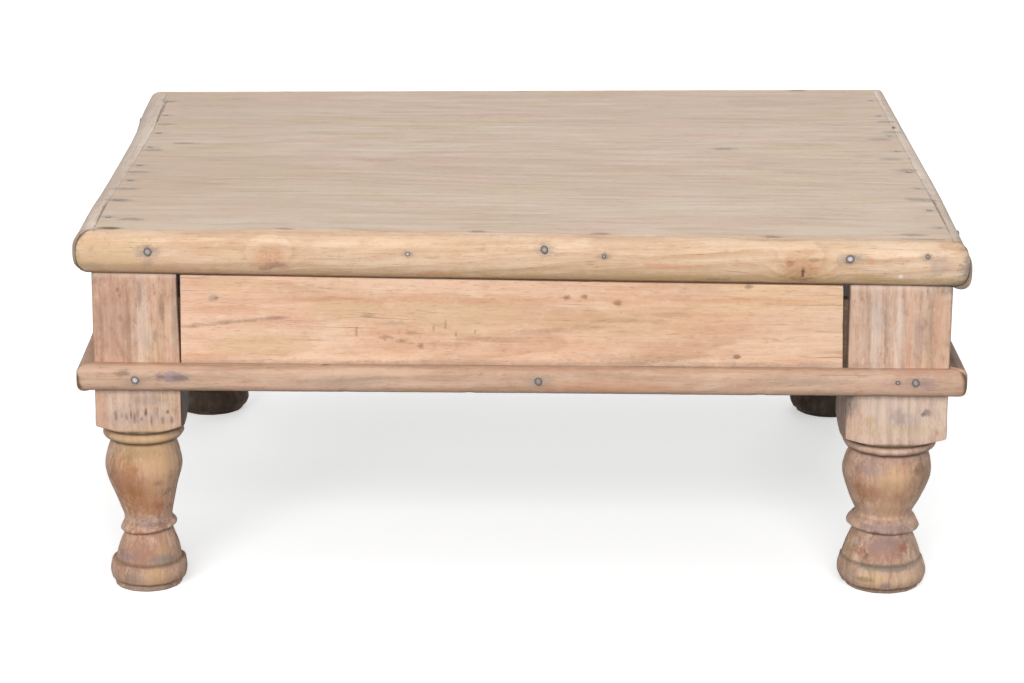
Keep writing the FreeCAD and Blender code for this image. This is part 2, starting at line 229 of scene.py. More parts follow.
def wood_clouds(tree, straight, place, grain):
    """The clouds of the table above, by their names."""
    return {name: cloud(tree, stretched(tree, place if wanders else straight, grain, share),
                        size, detail, rough)
            for name, (wanders, share, size, detail, rough) in cloud_shares.items()}


print("clouds in the wood:", ", ".join(cloud_shares))

# %% [markdown]
# Growth rings show as long lines and arches. They are shells round the heart of the tree, which
# lies outside the board and is tilted a little: where the surface cuts them at a slant, the
# arches come by themselves. A ring goes slowly from pale early wood to a dark line and then
# starts afresh, and it swells round a knot.

# %% Growth rings
ring_grain_share = 0.02
wobble_rings = 2.2
knot_reach_share = 2.2
knot_rings = 1.3


def growth_rings(tree, straight, place, grain, clouds, heart, tilt, ring_width, knots):
    """1 on the dark line that ends each year's growth, and fainter in places."""
    from_heart = calc_vector(tree, "SUBTRACT", place, heart)
    turned = add(tree, "Mapping", {"Vector": from_heart, "Rotation": tilt}).outputs[0]
    flat = stretched(tree, turned, grain, ring_grain_share)
    distance = add(tree, "VectorMath", {0: flat}, operation="LENGTH").outputs["Value"]
    rings = calc(tree, "DIVIDE", distance, ring_width)
    rings = calc(tree, "MULTIPLY_ADD", clouds["wobble"], wobble_rings, rings)
    for centre, size, _colour, _share in knots:
        bulge = patch(tree, straight, centre, [knot_reach_share * length for length in size], 0.0)
        rings = calc(tree, "MULTIPLY_ADD", bulge, knot_rings, rings)
    phase = calc(tree, "FRACT", rings)
    rise = soft_step(tree, phase, 0.30, 0.90)
    fall = soft_step(tree, phase, 0.92, 1.0, 1.0, 0.0)
    faded = soft_step(tree, clouds["fading"], 0.36, 0.62, 0.25, 1.0)
    return calc(tree, "MULTIPLY", calc(tree, "MULTIPLY", rise, fall), faded)


print("a knot moves the rings by", knot_rings, "of their width")

# %% [markdown]
# Old wood has flaws and dirt besides: pores like short dashes, cracks along the grain, dark
# specks, grit where dust has settled, stains with ragged edges, and grime in the creases, which
# are darkened by painted shade as well. Painted shade also darkens what looks down, and the sides,
# gaps and tenons inside the table. A cloud makes a mask when a soft step cuts it off at some
# level. A crack is the thin line along which a cloud passes its middle value, and a speck is the
# middle of a Voronoi cell that chance has picked.

# %% Flaws and dirt
grime_and_shade_brown = shade(84, 68, 48)
pore_brown = shade(132, 96, 72)
speck_brown = shade(108, 78, 60)
painted_shade_brown = shade(56, 46, 38)
iron_grey = shade(132, 124, 120)
speck_spacing = 17 * mm
speck_grain_share = 0.6
speck_reach_share = 0.085
dot_spacing = 3.4 * mm
grime_and_shade_share = 0.85


def wood_flaws(tree, place, grain, clouds):
    """Masks of the pores, the cracks, the specks and the grit."""
    pores = soft_step(tree, clouds["pores"], 0.63, 0.74)
    split = calc(tree, "ABSOLUTE", calc(tree, "SUBTRACT", clouds["splits"], 0.5))
    cracked = soft_step(tree, clouds["cracked"], 0.56, 0.68)
    cracks = calc(tree, "MULTIPLY", soft_step(tree, split, 0.004, 0.016, 1.0, 0.0), cracked)
    cells = add(tree, "TexVoronoi", {"Vector": stretched(tree, place, grain, speck_grain_share),
                                     "Scale": 1 / speck_spacing})
    chosen = add(tree, "SeparateColor", {"Color": cells.outputs["Color"]}).outputs[0]
    reach = soft_step(tree, chosen, 0.62, 1.0, 0.0, speck_reach_share)
    specks = soft_step(tree, calc(tree, "SUBTRACT", reach, cells.outputs["Distance"]), 0.0, 0.03)
    dusted = soft_step(tree, clouds["dust"], 0.40, 0.62)
    grit = calc(tree, "MULTIPLY", soft_step(tree, clouds["crumbs"], 0.58, 0.70), dusted)
    grit = calc(tree, "MULTIPLY", grit, soft_step(tree, clouds["mottle"], 0.42, 0.60))
    return pores, cracks, specks, grit


def stained(tree, colour, straight, clouds, patches, pits):
    """The colour under its stains and its pitted places, whose edges are ragged."""
    ragged = calc(tree, "MULTIPLY_ADD", clouds["smudges"], 1.2, -0.6)
    ragged = calc(tree, "ADD", calc(tree, "MULTIPLY_ADD", clouds["crumbs"], 1.3, -0.65), ragged)
    for centre, size, tint, share in patches:
        mask = calc(tree, "MULTIPLY", patch(tree, straight, centre, size, ragged), share)
        colour = mix(tree, mask, colour, tint)
    for centre, size, tint, share in pits:
        dots = add(tree, "TexVoronoi", {"Vector": straight, "Scale": 1 / dot_spacing})
        uneven = calc(tree, "MULTIPLY_ADD", clouds["crumbs"], 0.8, dots.outputs["Distance"])
        dot = soft_step(tree, uneven, 0.42, 0.78, share, 0.0)
        inside = patch(tree, straight, centre, size, ragged)
        colour = mix(tree, calc(tree, "MULTIPLY", dot, inside), colour, tint)
    return colour


def grimed_and_shaded(tree, colour, clouds):
    """The colour darkened by grime and painted shade in its creases, and by painted shade where noted.
    """
    # Grime and painted shade in the creases
    dirt_and_shade = calc(tree, "MULTIPLY", soft_step(tree, attribute(tree, "crease"), 0.04, 0.40),
                soft_step(tree, clouds["smudges"], 0.20, 0.50, 0.55, 1.0))
    colour = mix(tree, calc(tree, "MULTIPLY", dirt_and_shade, grime_and_shade_share), colour, grime_and_shade_brown)
    # Painted shade where the piece has noted it
    painted_shade_mask = calc(tree, "MULTIPLY", attribute(tree, "painted_shade"),
                 soft_step(tree, clouds["smudges"], 0.20, 0.55, 0.75, 0.95))
    return mix(tree, painted_shade_mask, colour, painted_shade_brown)


print("specks lie about", round(speck_spacing / mm), "mm apart, in some places only")

# %% [markdown]
# With these the wood can be painted as a painter would do it, one thin layer over another: first
# broad blotches of pale, warm, pink and yellow, then streaks, rings and fibres, then the pale
# dust of worn arrises, and last the stains, the flaws, the grime and the painted shade. Each piece
# has tones of its own, and shares that say how strongly the layers show on it.

# %% Old wood
usual_ring_width = 6.5 * mm
worn_share = 0.34
wood_relief = 0.45 * mm


def old_wood(name, grain, tones, heart, tilt, ring_width=usual_ring_width, ring_share=0.34,
             streak_share=0.30, fibre_share=0.26, pore_share=0.30, crack_share=0.35,
             speck_share=0.45, tint_share=0.50, mottle_share=0.30, grit_share=0.40,
             patches=(), pits=()):
    """Pale old wood whose grain runs along an axis.

    Patches are (centre, size, colour, share). Pits are the same, and hold many small dark dots."""
    material, tree = bare_material(name)
    straight = add(tree, "TexCoord").outputs["Object"]
    place = wandering(tree, straight, grain)
    clouds = wood_clouds(tree, straight, place, grain)
    rings = growth_rings(tree, straight, place, grain, clouds, heart, tilt, ring_width, pits)
    pores, cracks, specks, grit = wood_flaws(tree, place, grain, clouds)

    def where(title, low, high, start, end):
        return soft_step(tree, clouds[title], low, high, start, end)

    def some(mask, share):
        return calc(tree, "MULTIPLY", mask, share)

    colour = tones["pale"]
    for mask, tone in (
            (where("blotches", 0.30, 0.68, 0.0, 1.0), tones["warm"]),
            (where("blushes", 0.48, 0.66, 0.0, tint_share), tones["blush"]),
            (where("golds", 0.52, 0.70, 0.0, tint_share), tones["gold"]),
            (where("streaks", 0.44, 0.72, 0.0, streak_share), tones["line"]),
            (where("streaks", 0.24, 0.46, streak_share, 0.0), tones["dusty"]),
            (some(rings, ring_share), tones["line"]),
            (where("fibres", 0.46, 0.74, 0.0, fibre_share), tones["line"]),
            (where("fibres", 0.26, 0.46, fibre_share, 0.0), tones["dusty"]),
            (where("mottle", 0.50, 0.74, 0.0, mottle_share), tones["line"]),
            (where("mottle", 0.26, 0.48, mottle_share, 0.0), tones["dusty"]),
            (some(pores, pore_share), pore_brown),
            (some(grit, grit_share), speck_brown),
            (soft_step(tree, attribute(tree, "worn"), 0.05, 0.55, 0.0, worn_share),
             tones["dusty"])):
        colour = mix(tree, mask, colour, tone)
    colour = stained(tree, colour, straight, clouds, patches, pits)
    colour = mix(tree, some(cracks, crack_share), colour, grime_and_shade_brown)
    colour = mix(tree, some(specks, speck_share), colour, speck_brown)
    colour = grimed_and_shaded(tree, colour, clouds)

    height = calc(tree, "MULTIPLY", clouds["fibres"], 0.5)
    for mask, rise in ((rings, 0.25), (pores, -0.45), (cracks, -1.2), (specks, -1.0)):
        height = calc(tree, "MULTIPLY_ADD", mask, rise, height)
    relief = add(tree, "Bump", {"Height": height, "Strength": 0.55, "Distance": wood_relief})
    gloss = soft_step(tree, clouds["streaks"], 0.3, 0.7, 0.56, 0.74)
    surface = add(tree, "BsdfPrincipled", {"Base Color": colour, "Roughness": gloss,
                                           "Specular IOR Level": 0.20,
                                           "Normal": relief.outputs[0]})
    add(tree, "OutputMaterial", {"Surface": surface.outputs[0]})
    return material


print("growth rings are", round(usual_ring_width / mm, 1), "mm wide, unless a piece says otherwise")

# %% [markdown]
# The nails are hand-made iron with domed heads. Old iron is dark and dull, with rust in its
# hollows. Its crown is lighter where it was rubbed, and lighter still by a painted highlight. Some
# nails are given more of both than others. Each vertex of a nail knows how near it is to the
# crown, and how bright its nail is.

# %% Old iron
dull_iron = shade(104, 99, 98)
rusty_iron = shade(98, 78, 66)
pitted_iron = shade(60, 53, 50)
rubbed_iron_and_highlight = shade(190, 187, 186)
fleck_size = 1.3 * mm
iron_pit_size = 0.7 * mm
iron_relief = 0.15 * mm


def old_iron(name):
    material, tree = bare_material(name)
    place = add(tree, "TexCoord").outputs["Object"]
    flecks = cloud(tree, place, fleck_size, 4.0, 0.65)
    rust = soft_step(tree, flecks, 0.46, 0.66)
    pits = soft_step(tree, cloud(tree, place, iron_pit_size, 2.0), 0.52, 0.70)
    uneven = calc(tree, "MULTIPLY_ADD", flecks, 0.5,
                  calc(tree, "ADD", attribute(tree, "crown"), -0.25))
    # The crown is lighter where the iron was rubbed bare, and by a painted highlight
    rubbed_and_highlight = calc(tree, "MULTIPLY", soft_step(tree, uneven, 0.05, 0.75), attribute(tree, "shine"))
    dark = mix(tree, rust, dull_iron, rusty_iron)
    dark = mix(tree, calc(tree, "MULTIPLY", pits, 0.5), dark, pitted_iron)
    colour = mix(tree, rubbed_and_highlight, dark, rubbed_iron_and_highlight)
    metal = calc(tree, "MULTIPLY", rubbed_and_highlight, 0.15)
    gloss = soft_step(tree, rust, 0.2, 0.8, 0.40, 0.72)
    relief = add(tree, "Bump", {"Height": pits, "Strength": 0.5, "Distance": iron_relief},
                 invert=True)
    surface = add(tree, "BsdfPrincipled", {"Base Color": colour, "Roughness": gloss,
                                           "Metallic": metal, "Normal": relief.outputs[0]})
    add(tree, "OutputMaterial", {"Surface": surface.outputs[0]})
    return material


iron = old_iron("old_iron")
print("made", iron.name)

# %% [markdown]
# The boards are read from the CAD model before they are shaped. Its top has gone into wind: its
# four corners don't lie in one plane. Between them the height changes evenly along both edges, so
# four corner heights are enough to give the height anywhere. The real top is out of true in two
# more ways. Its short sides and the seams beside them wander by a few millimetres, and its front
# left corner is worn hollow.

# %% The lie of the top
plank_names = sorted(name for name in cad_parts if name.startswith("top_plank_"))
corner_reach = 1 * mm


def cad_points(name):
    return [vertex.co.copy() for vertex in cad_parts[name].data.vertices]


plank_points = [point for name in plank_names for point in cad_points(name)]
planked_x = max(point.x for point in plank_points)
planked_y = max(point.y for point in plank_points)


def corner_heights(side_x, side_y):
    """The lowest and highest point at a corner of the planked area."""
    corner = Vector((side_x * planked_x, side_y * planked_y))
    near = [point.z for point in plank_points if (point.xy - corner).length < corner_reach]
    return min(near), max(near)


corners = {(side_x, side_y): corner_heights(side_x, side_y)[1]
           for side_x in (-1, 1) for side_y in (-1, 1)}
board_thickness = corners[-1, -1] - corner_heights(-1, -1)[0]


def surface_height(x, y):
    """The height of the top's upper surface."""
    along = x / planked_x
    back = y / planked_y
    height = sum(value * (1 + side_x * along) * (1 + side_y * back)
                 for (side_x, side_y), value in corners.items())
    return height / len(corners)


# How far the short edges of the top and the seams beside them lie inwards, in mm, for each Y in mm
edge_moves_in_mm = {
    -1: ((-242, -1.0), (-190, -0.3), (-150, 0.5), (-110, 1.6), (-60, 2.4), (0, 3.2), (60, 3.9),
         (110, 3.7), (150, 2.2), (190, 1.3), (242, 1.2)),
    1: ((-242, -0.8), (-70, 0.0), (200, 1.8), (242, 2.0)),
}
seam_moves_in_mm = {
    -1: ((-242, -3.6), (-155, -2.0), (-60, 1.5), (0, 3.2), (85, 4.8), (195, 2.0), (242, 1.2)),
    1: ((-242, -4.4), (-100, -4.0), (100, -2.5), (242, -2.0)),
}
moved_reach = 100 * mm
strip_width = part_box("right_edging")[1].x - planked_x
hollow_depth = 1.6 * mm
hollow_start_x = -165 * mm
hollow_start_y = -145 * mm
hollow_run_x = 50 * mm
hollow_run_y = 80 * mm


def between(table, place):
    """Reads a table of (place, amount), going evenly from one entry to the next."""
    for (start, first), (end, last) in zip(table, table[1:]):
        if place <= end:
            return first + (last - first) * max(0.0, (place - start) / (end - start))
    return table[-1][1]


def within(share):
    """A share, held between nothing and all."""
    return min(1.0, max(0.0, share))


def eased(share):
    """A soft start and end for something that goes from 0 to 1."""
    share = within(share)
    return share * share * (3 - 2 * share)


def settled_x(x, y):
    """Where a point of the top lies along the table, once its short sides wander."""
    side = 1 if x > 0 else -1
    seam = between(seam_moves_in_mm[side], y / mm) * mm
    edge = between(edge_moves_in_mm[side], y / mm) * mm
    beyond = abs(x) - planked_x
    if beyond <= 0:
        return x - side * seam * eased(1 + beyond / moved_reach)
    return x - side * (seam + (edge - seam) * min(1.0, beyond / strip_width))


def hollow(x, y):
    """How deep the front left corner is worn."""
    along = eased((hollow_start_x - x) / hollow_run_x)
    back = eased((hollow_start_y - y) / hollow_run_y)
    return hollow_depth * along * back


def lay_in_top(bm, x_limit, y_limit):
    """Lifts a board from the floor into the top. Its height is taken inside the limits."""
    for vertex in bm.verts:
        x = min(max(vertex.co.x, -x_limit), x_limit)
        y = min(max(vertex.co.y, -y_limit), y_limit)
        worn_away = hollow(vertex.co.x, vertex.co.y) * vertex.co.z / board_thickness
        vertex.co.z += surface_height(x, y) - board_thickness - worn_away
        vertex.co.x = settled_x(vertex.co.x, vertex.co.y)


print("corner heights in mm:", {corner: round(value / mm, 1) for corner, value in corners.items()})

# %% [markdown]
# Every sawn piece starts as a cube: it is scaled to the board's box, its edges are bevelled
# into rounded arrises, and it is cut across and along until its faces are a few millimetres
# wide. Only then can hand tools leave marks on it.

# %% Helpers for boards
touching = 0.1 * mm
parallel_share = 0.999
sharp_angle = math.radians(50)
arris_segments = 3


def runs_along(edge, axis):
    run = edge.verts[1].co - edge.verts[0].co
    return abs(run[axis]) > parallel_share * run.length


def bevel(bm, edges, radius, segments):
    bmesh.ops.bevel(bm, geom=edges, offset=radius, offset_type="OFFSET", segments=segments,
                    profile=0.5, affect="EDGES", clamp_overlap=True, material=-1)


def sharp_edges(bm):
    return [edge for edge in bm.edges if edge.calc_face_angle(0) > sharp_angle]


def cut_fine(bm, spacing):
    """Cuts the long faces of a board into faces about as wide as the spacing."""
    for axis in (X_AXIS, Y_AXIS, Z_AXIS):
        groups = {}
        for edge in bm.edges:
            pieces = round(edge.calc_length() / spacing)
            if pieces > 1 and runs_along(edge, axis):
                groups.setdefault(pieces, []).append(edge)
        for pieces, edges in groups.items():
            bmesh.ops.subdivide_edges(bm, edges=edges, cuts=pieces - 1)


def make_board(low, high, arris, spacing, rounded=()):
    """A board between two corners. rounded lists (test for an edge, radius, segments)."""
    bm = bmesh.new()
    bmesh.ops.create_cube(bm, size=1.0)
    bmesh.ops.scale(bm, vec=high - low, verts=bm.verts)
    bmesh.ops.translate(bm, vec=(low + high) / 2, verts=bm.verts)
    for chosen, radius, segments in rounded:
        bevel(bm, [edge for edge in bm.edges if chosen(edge)], radius, segments)
    bevel(bm, sharp_edges(bm), arris, arris_segments)
    cut_fine(bm, spacing)
    return bm


print("a board's arris is rounded in", arris_segments, "segments")

# %% [markdown]
# Planes, knocks and years have left no face flat. The surface is sunk along its normals by noise
# of three sizes: slow ripples along the grain, knocks, and nicks that take most from the sharp
# arrises. For that, and for its look, a piece is asked how its surface bends at each vertex. A
# material can then lighten the worn arrises and darken the creases, because what is written down
# at the vertices travels with the mesh.

# %% Wear and finish
ripple_size = 38 * mm
ripple_grain_share = 0.35
knock_size = 11 * mm
knock_level = 0.42
nick_size = 5 * mm
nick_level = 0.15
nick_gain = 3
seed_steps = (3.7, 1.9, 2.3)
worn_gain = 2.5
crease_gain = 5.0


def take_in(bm, other):
    """Adds the other bmesh to this one, after its own vertices, and frees the other."""
    spare = bpy.data.meshes.new("spare")
    other.to_mesh(spare)
    other.free()
    bm.from_mesh(spare)
    bpy.data.meshes.remove(spare)


def bends(bm):
    """How sharply the surface bends at each vertex: above 0 on an arris, below in a crease."""
    bm.normal_update()
    found = []
    for vertex in bm.verts:
        steps = [edge.other_vert(vertex).co - vertex.co for edge in vertex.link_edges]
        total = sum((step.length for step in steps), 1e-9)
        found.append(-sum(steps, Vector()).dot(vertex.normal) / total)
    return found


def softened(bm, values):
    """Each value, averaged with those of its neighbours."""
    bm.verts.index_update()
    out = []
    for vertex in bm.verts:
        near = [values[edge.other_vert(vertex).index] for edge in vertex.link_edges]
        out.append((values[vertex.index] + sum(near)) / (1 + len(near)))
    return out


def weather(bm, grain, seed, ripple, dent, chip, side_share=1.0):
    """Sinks the surface a little, as planes, knocks and years do. Nothing is raised.

    Where boards are pressed together, their sides take only a share of it."""
    sharpness = softened(bm, bends(bm))
    shift = Vector([seed * step for step in seed_steps])
    moves = []
    for vertex, sharp in zip(bm.verts, sharpness):
        point = vertex.co.copy()
        point[grain] *= ripple_grain_share
        slow = noise.noise(point / ripple_size + shift)
        knock = noise.noise(vertex.co / knock_size + shift * 2)
        nick = noise.noise(vertex.co / nick_size + shift * 3)
        depth = ripple * (0.5 + 0.5 * slow)
        depth += dent * max(0.0, knock - knock_level)
        depth += chip * within(nick_gain * sharp) * max(0.0, nick + nick_level)
        moves.append(vertex.normal * -depth)
    for vertex, move in zip(bm.verts, moves):
        vertex.co += Vector((move.x * side_share, move.y * side_share, move.z))


def finish_piece(name, bm, material, node, notes, dirt_and_shade=None):
    """Writes the wear down, makes an object of the mesh, and lets it stand for its CAD node.

    notes says what more is written down: a name, and a function from a vertex to a value. The
    last argument is a list with the dirt and painted shade at each vertex. Without it, both lie
    where the surface bends in."""
    bmesh.ops.recalc_face_normals(bm, faces=bm.faces)
    measured = softened(bm, softened(bm, bends(bm)))
    worn = bm.verts.layers.float.new("worn")
    crease = bm.verts.layers.float.new("crease")
    for index, (vertex, bend) in enumerate(zip(bm.verts, measured)):
        vertex[worn] = within(bend * worn_gain)
        vertex[crease] = within(dirt_and_shade[index] if dirt_and_shade else -bend * crease_gain)
        for axis in (X_AXIS, Y_AXIS, Z_AXIS):
            vertex.co[axis] = min(max(vertex.co[axis], cad_box[0][axis]), cad_box[1][axis])
    for title, value_at in notes.items():
        layer = bm.verts.layers.float.new(title)
        for vertex in bm.verts:
            vertex[layer] = value_at(vertex)
    mesh = bpy.data.meshes.new(name)
    bm.to_mesh(mesh)
    bm.free()
    mesh.shade_smooth()
    mesh.materials.append(material)
    piece = bpy.data.objects.new(name, mesh)
    scene.collection.objects.link(piece)
    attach(piece, "root")
    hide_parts(node)
    print(name, "has", len(mesh.polygons), "faces")


print("knocks are about", round(knock_size / mm), "mm wide, and nicks", round(nick_size / mm), "mm")

# %% [markdown]
# Nails are found in the CAD model, so that the stain round each head in the wood lies where the
# nail is. A CAD mesh is loose triangles, so a copy is merged and walked through island by island.
# The two points of a nail that are furthest apart are its crown and its tip, and the crown is the
# one nearer to the head, where the nail is widest.

# %% Find the nails
triangle_merging = 0.001 * mm


def islands(bm):
    """The groups of vertices that hang together."""
    waiting = set(bm.verts)
    while waiting:
        group = []
        edge_of_group = [waiting.pop()]
        while edge_of_group:
            vertex = edge_of_group.pop()
            group.append(vertex)
            for edge in vertex.link_edges:
                other = edge.other_vert(vertex)
                if other in waiting:
                    waiting.remove(other)
                    edge_of_group.append(other)
        yield group


def find_nails(node):
    """The crown and tip of each nail of a node, and the radius of its head."""
    bm = bmesh.new()
    bm.from_mesh(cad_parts[node].data)
    bmesh.ops.remove_doubles(bm, verts=bm.verts, dist=triangle_merging)
    found = []
    for group in islands(bm):
        points = [vertex.co.copy() for vertex in group]
        middle = sum(points, Vector()) / len(points)
        one_end = max(points, key=lambda point: (point - middle).length)
        other_end = max(points, key=lambda point: (point - one_end).length)
        direction = (other_end - one_end).normalized()
        out = {tuple(point): (point - one_end).cross(direction).length for point in points}
        widest = Vector(max(out, key=out.get))
        crown, tip = sorted((one_end, other_end), key=lambda end: (end - widest).length)
        if "moulding" not in node:
            move = Vector((settled_x(crown.x, crown.y) - crown.x, 0.0, -hollow(crown.x, crown.y)))
            crown, tip = crown + move, tip + move
        found.append((crown, tip, max(out.values())))
    bm.free()
    return sorted(found, key=lambda nail: tuple(nail[0]))


nail_nodes = sorted(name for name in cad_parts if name.endswith(("_nails", "_brads")))
nails = {node: find_nails(node) for node in nail_nodes}
for node in nail_nodes:
    print(node, [[round(value / mm, 1) for value in crown] for crown, tip, radius in nails[node]])

# %% [markdown]
# An old table is full of marks: stains, knots, dents full of dirt, and grey where iron has bled
# into damp wood and run along its grain. They are listed once, where they lie on the real table,
# and each piece then takes those that reach it. Marks on the front are given by X and Z, and marks
# on the top by X and Y, all in millimetres, with the width and height that the eye sees. First
# come their colours, and the helpers that note a mark down.

# %% Helpers for marks
dash_brown = shade(124, 100, 84)
olive_brown = shade(112, 98, 70)
olive_tan = shade(196, 166, 118)
rosy = shade(204, 144, 110)
rust_orange = shade(178, 118, 76)
rust_red = shade(160, 96, 70)
red_brown = shade(160, 116, 98)
rust_and_shade_brown = shade(162, 108, 72)
warm_tan = shade(214, 176, 134)
violet_grey = shade(150, 130, 130)
dirt_and_shade_grey = shade(142, 130, 120)
bleached_and_lit = shade(244, 236, 226)
nose_face = -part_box("front_edging")[0].y / mm
post_face = -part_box("front_left_leg")[0].y / mm
ledge_face = -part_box("front_moulding")[0].y / mm
front_mark_depth = 9.0
top_mark_depth = 4.0
marks = []

# A patch is ragged and fades towards its edge, so this share of the width seen makes its radius
reach_share = 0.77


def front_mark(face, x, z, wide, high, colour, share, deep=front_mark_depth):
    """A mark on a surface that looks to the front and lies this far before the middle."""
    size = Vector((reach_share * wide, deep, reach_share * high)) * mm
    marks.append((tuple(Vector((x, -face, z)) * mm), tuple(size), colour, share))


def top_mark(x, y, long, wide, colour, share):
    """A mark on the top, at the height that the top has there."""
    height = surface_height(x * mm, y * mm) - hollow(x * mm, y * mm)
    size = Vector((reach_share * long, reach_share * wide, top_mark_depth)) * mm
    marks.append(((x * mm, y * mm, height), tuple(size), colour, share))


def line_of_marks(face, start, end, count, thick, colour, share, wave=0.0):
    """A long thin mark from one (x, z) to another, as a row of short ones that overlap."""
    length = (end[0] - start[0]) / count
    for step in range(count):
        along = (step + 0.5) / count
        z = start[1] + (end[1] - start[1]) * along + wave * math.sin(2.4 * step)
        front_mark(face, start[0] + (end[0] - start[0]) * along, z, 1.5 * length, thick, colour, share)


print("the front edging stands", round(nose_face - post_face, 1), "mm before the posts")

# %% [markdown]
# The top and its edging were handled most. Grey spots lie at both ends of the planks, where
# nails have bled, and short dashes where the front edging was nailed on. The nose of the edging
# is darker and yellower below, partly from dirt and partly as painted shade where it turns down,
# with a knot on the left and a rusty dent on the right. Its corners are painted grey, and on the
# right the grey is painted shade.

# %% Marks on the top and its edging
for x, y in ((-271.6, 104), (-250.7, 35.6), (-272.2, 11.9), (-276.2, -61.6), (-278.9, -116.1),
             (-280.0, -151.1), (-266.1, -201.4), (272.8, 59), (274.3, -3.8), (280.7, -35.5),
             (277.2, -120.4), (262.4, -216.1), (286, -123), (285, 118), (285.5, 83), (152.4, 26.5)):
    top_mark(x, y, 17.0, 7.0, dirt_and_shade_grey, 0.62)
for x, y, long, wide in ((-280.0, 140.0, 2.4, 110.0), (-286.8, -191.0, 2.6, 72.0),
                         (288.2, -176.0, 2.8, 124.0), (268.0, -226.5, 34.0, 2.2)):
    top_mark(x, y, long, wide, dash_brown, 0.75)
top_mark(-277.0, -226.5, 15.0, 6.0, olive_brown, 0.95)
for x in (-160.0, -30.7, 52.0, 166.7):
    top_mark(x, -226.5, 12.0, 6.0, dash_brown, 0.60)

# Both corners of the front edging are painted grey, the right one most, where the grey is painted shade
for x, z, wide, high, share in ((302.5, 234, 19, 76, 0.95), (296, 222, 34, 10, 0.80),
                                (302, 222, 24, 32, 0.80), (-303, 236, 14, 60, 0.60),
                                (-296, 227, 28, 9, 0.50)):
    front_mark(nose_face - 10, x, z, wide, high, dirt_and_shade_grey, share, deep=40.0)

# The first mark, a long darker band low on the nose, is partly dirt and partly painted shade
# x, z, width, height, colour and share of each mark on the nose of the front edging
for numbers in ((0, 226, 580, 15, olive_tan, 0.72), (-169, 243, 22, 13, rosy, 0.40),
                (-278, 238, 60, 44, olive_tan, 0.42), (-290, 232, 24, 16, dirt_and_shade_grey, 0.25),
                (-164, 238, 14, 5, dash_brown, 0.45), (-172, 236, 9, 3, dash_brown, 0.45),
                (186.5, 238, 24, 17, rust_orange, 0.42), (187, 235, 2.2, 7, grime_and_shade_brown, 0.85),
                (186, 229, 16, 4, dash_brown, 0.5), (195, 244, 12, 3, dash_brown, 0.35),
                (178, 241, 5, 4, rust_red, 0.5), (232.3, 243, 6, 4, rosy, 0.45),
                (236, 230.0, 36, 6, olive_tan, 0.75), (252.8, 232, 3.4, 3, bleached_and_lit, 0.9),
                (278.6, 240.4, 15, 12, violet_grey, 0.35), (-251, 240, 7, 5, violet_grey, 0.35),
                (-60, 233, 26, 4, rosy, 0.5), (95, 239, 40, 3, rosy, 0.45),
                (-215, 231, 30, 3, dash_brown, 0.35), (130, 229, 24, 2.5, dash_brown, 0.4),
                (-110, 228, 18, 2.5, dash_brown, 0.4)):
    front_mark(nose_face - 1, *numbers)
print("marks on the top and its edging:", len(marks))

# %% [markdown]
# The apron has a dark knot left of its middle and long faint lines that follow its grain, and
# the moulding under it has a grey stain near its left end.

# %% Marks on the apron and the moulding
for numbers in ((-85, 186, 54, 26, rosy, 0.32), (-80, 183, 12, 3, dash_brown, 0.45),
                (-92, 186, 9, 2.6, dash_brown, 0.45), (-75, 189, 8, 2.4, dash_brown, 0.4),
                (-69, 180, 4.5, 4, grime_and_shade_brown, 0.55), (-84, 196, 16, 3, dirt_and_shade_grey, 0.35),
                (29.7, 214, 5, 3, grime_and_shade_brown, 0.65), (41.9, 214.7, 4, 2.6, grime_and_shade_brown, 0.6),
                (64.1, 210.6, 5, 3, grime_and_shade_brown, 0.65), (145.2, 173, 5, 3, grime_and_shade_brown, 0.65),
                (152.1, 222.2, 5, 3, grime_and_shade_brown, 0.5), (-208, 213, 7, 5, violet_grey, 0.5),
                (-206, 213, 3, 2.4, grime_and_shade_brown, 0.35), (120, 196, 70, 14, rosy, 0.22),
                (-180, 180, 60, 12, olive_tan, 0.35), (-200, 205, 40, 5, rosy, 0.28),
                (-40, 200, 90, 26, olive_tan, 0.28), (60, 196, 110, 16, olive_tan, 0.25),
                (-215, 172, 30, 5, rosy, 0.28), (20, 180, 120, 8, rosy, 0.22),
                (90, 172, 90, 5, dash_brown, 0.22), (-120, 206, 50, 12, olive_tan, 0.35)):
    front_mark(post_face, *numbers)
line_of_marks(post_face, (-229.6, 192.6), (-159.4, 199.9), 7, 2.2, dash_brown, 0.38)
line_of_marks(post_face, (-150.0, 212.0), (190.0, 213.0), 16, 3.4, rosy, 0.34, wave=1.3)
line_of_marks(post_face, (-60.0, 180.0), (110.0, 203.0), 9, 3.4, red_brown, 0.26, wave=1.6)
line_of_marks(post_face, (-232.0, 167.5), (240.0, 167.0), 9, 4.5, dirt_and_shade_grey, 0.30, wave=0.5)
for x, z, high in ((-60, 192, 4), (-52, 195, 7), (-45, 188, 4), (-112, 190, 6), (-32, 190, 3)):
    front_mark(post_face, x, z, 1.6, high, dash_brown, 0.42)

# The marks on the front moulding, with the same numbers
for numbers in ((-234.5, 160.5, 20, 7, violet_grey, 0.95), (-231, 160.2, 9, 3.5, dash_brown, 0.6),
                (-243, 160.8, 6, 3, dash_brown, 0.6), (-270, 163, 9, 4, dash_brown, 0.6),
                (275, 157, 15, 8, violet_grey, 0.45), (-120, 158, 60, 8, dirt_and_shade_grey, 0.30),
                (60, 155, 90, 7, rosy, 0.35), (190, 160, 50, 6, dirt_and_shade_grey, 0.28)):
    front_mark(ledge_face, *numbers)
print("marks so far:", len(marks))
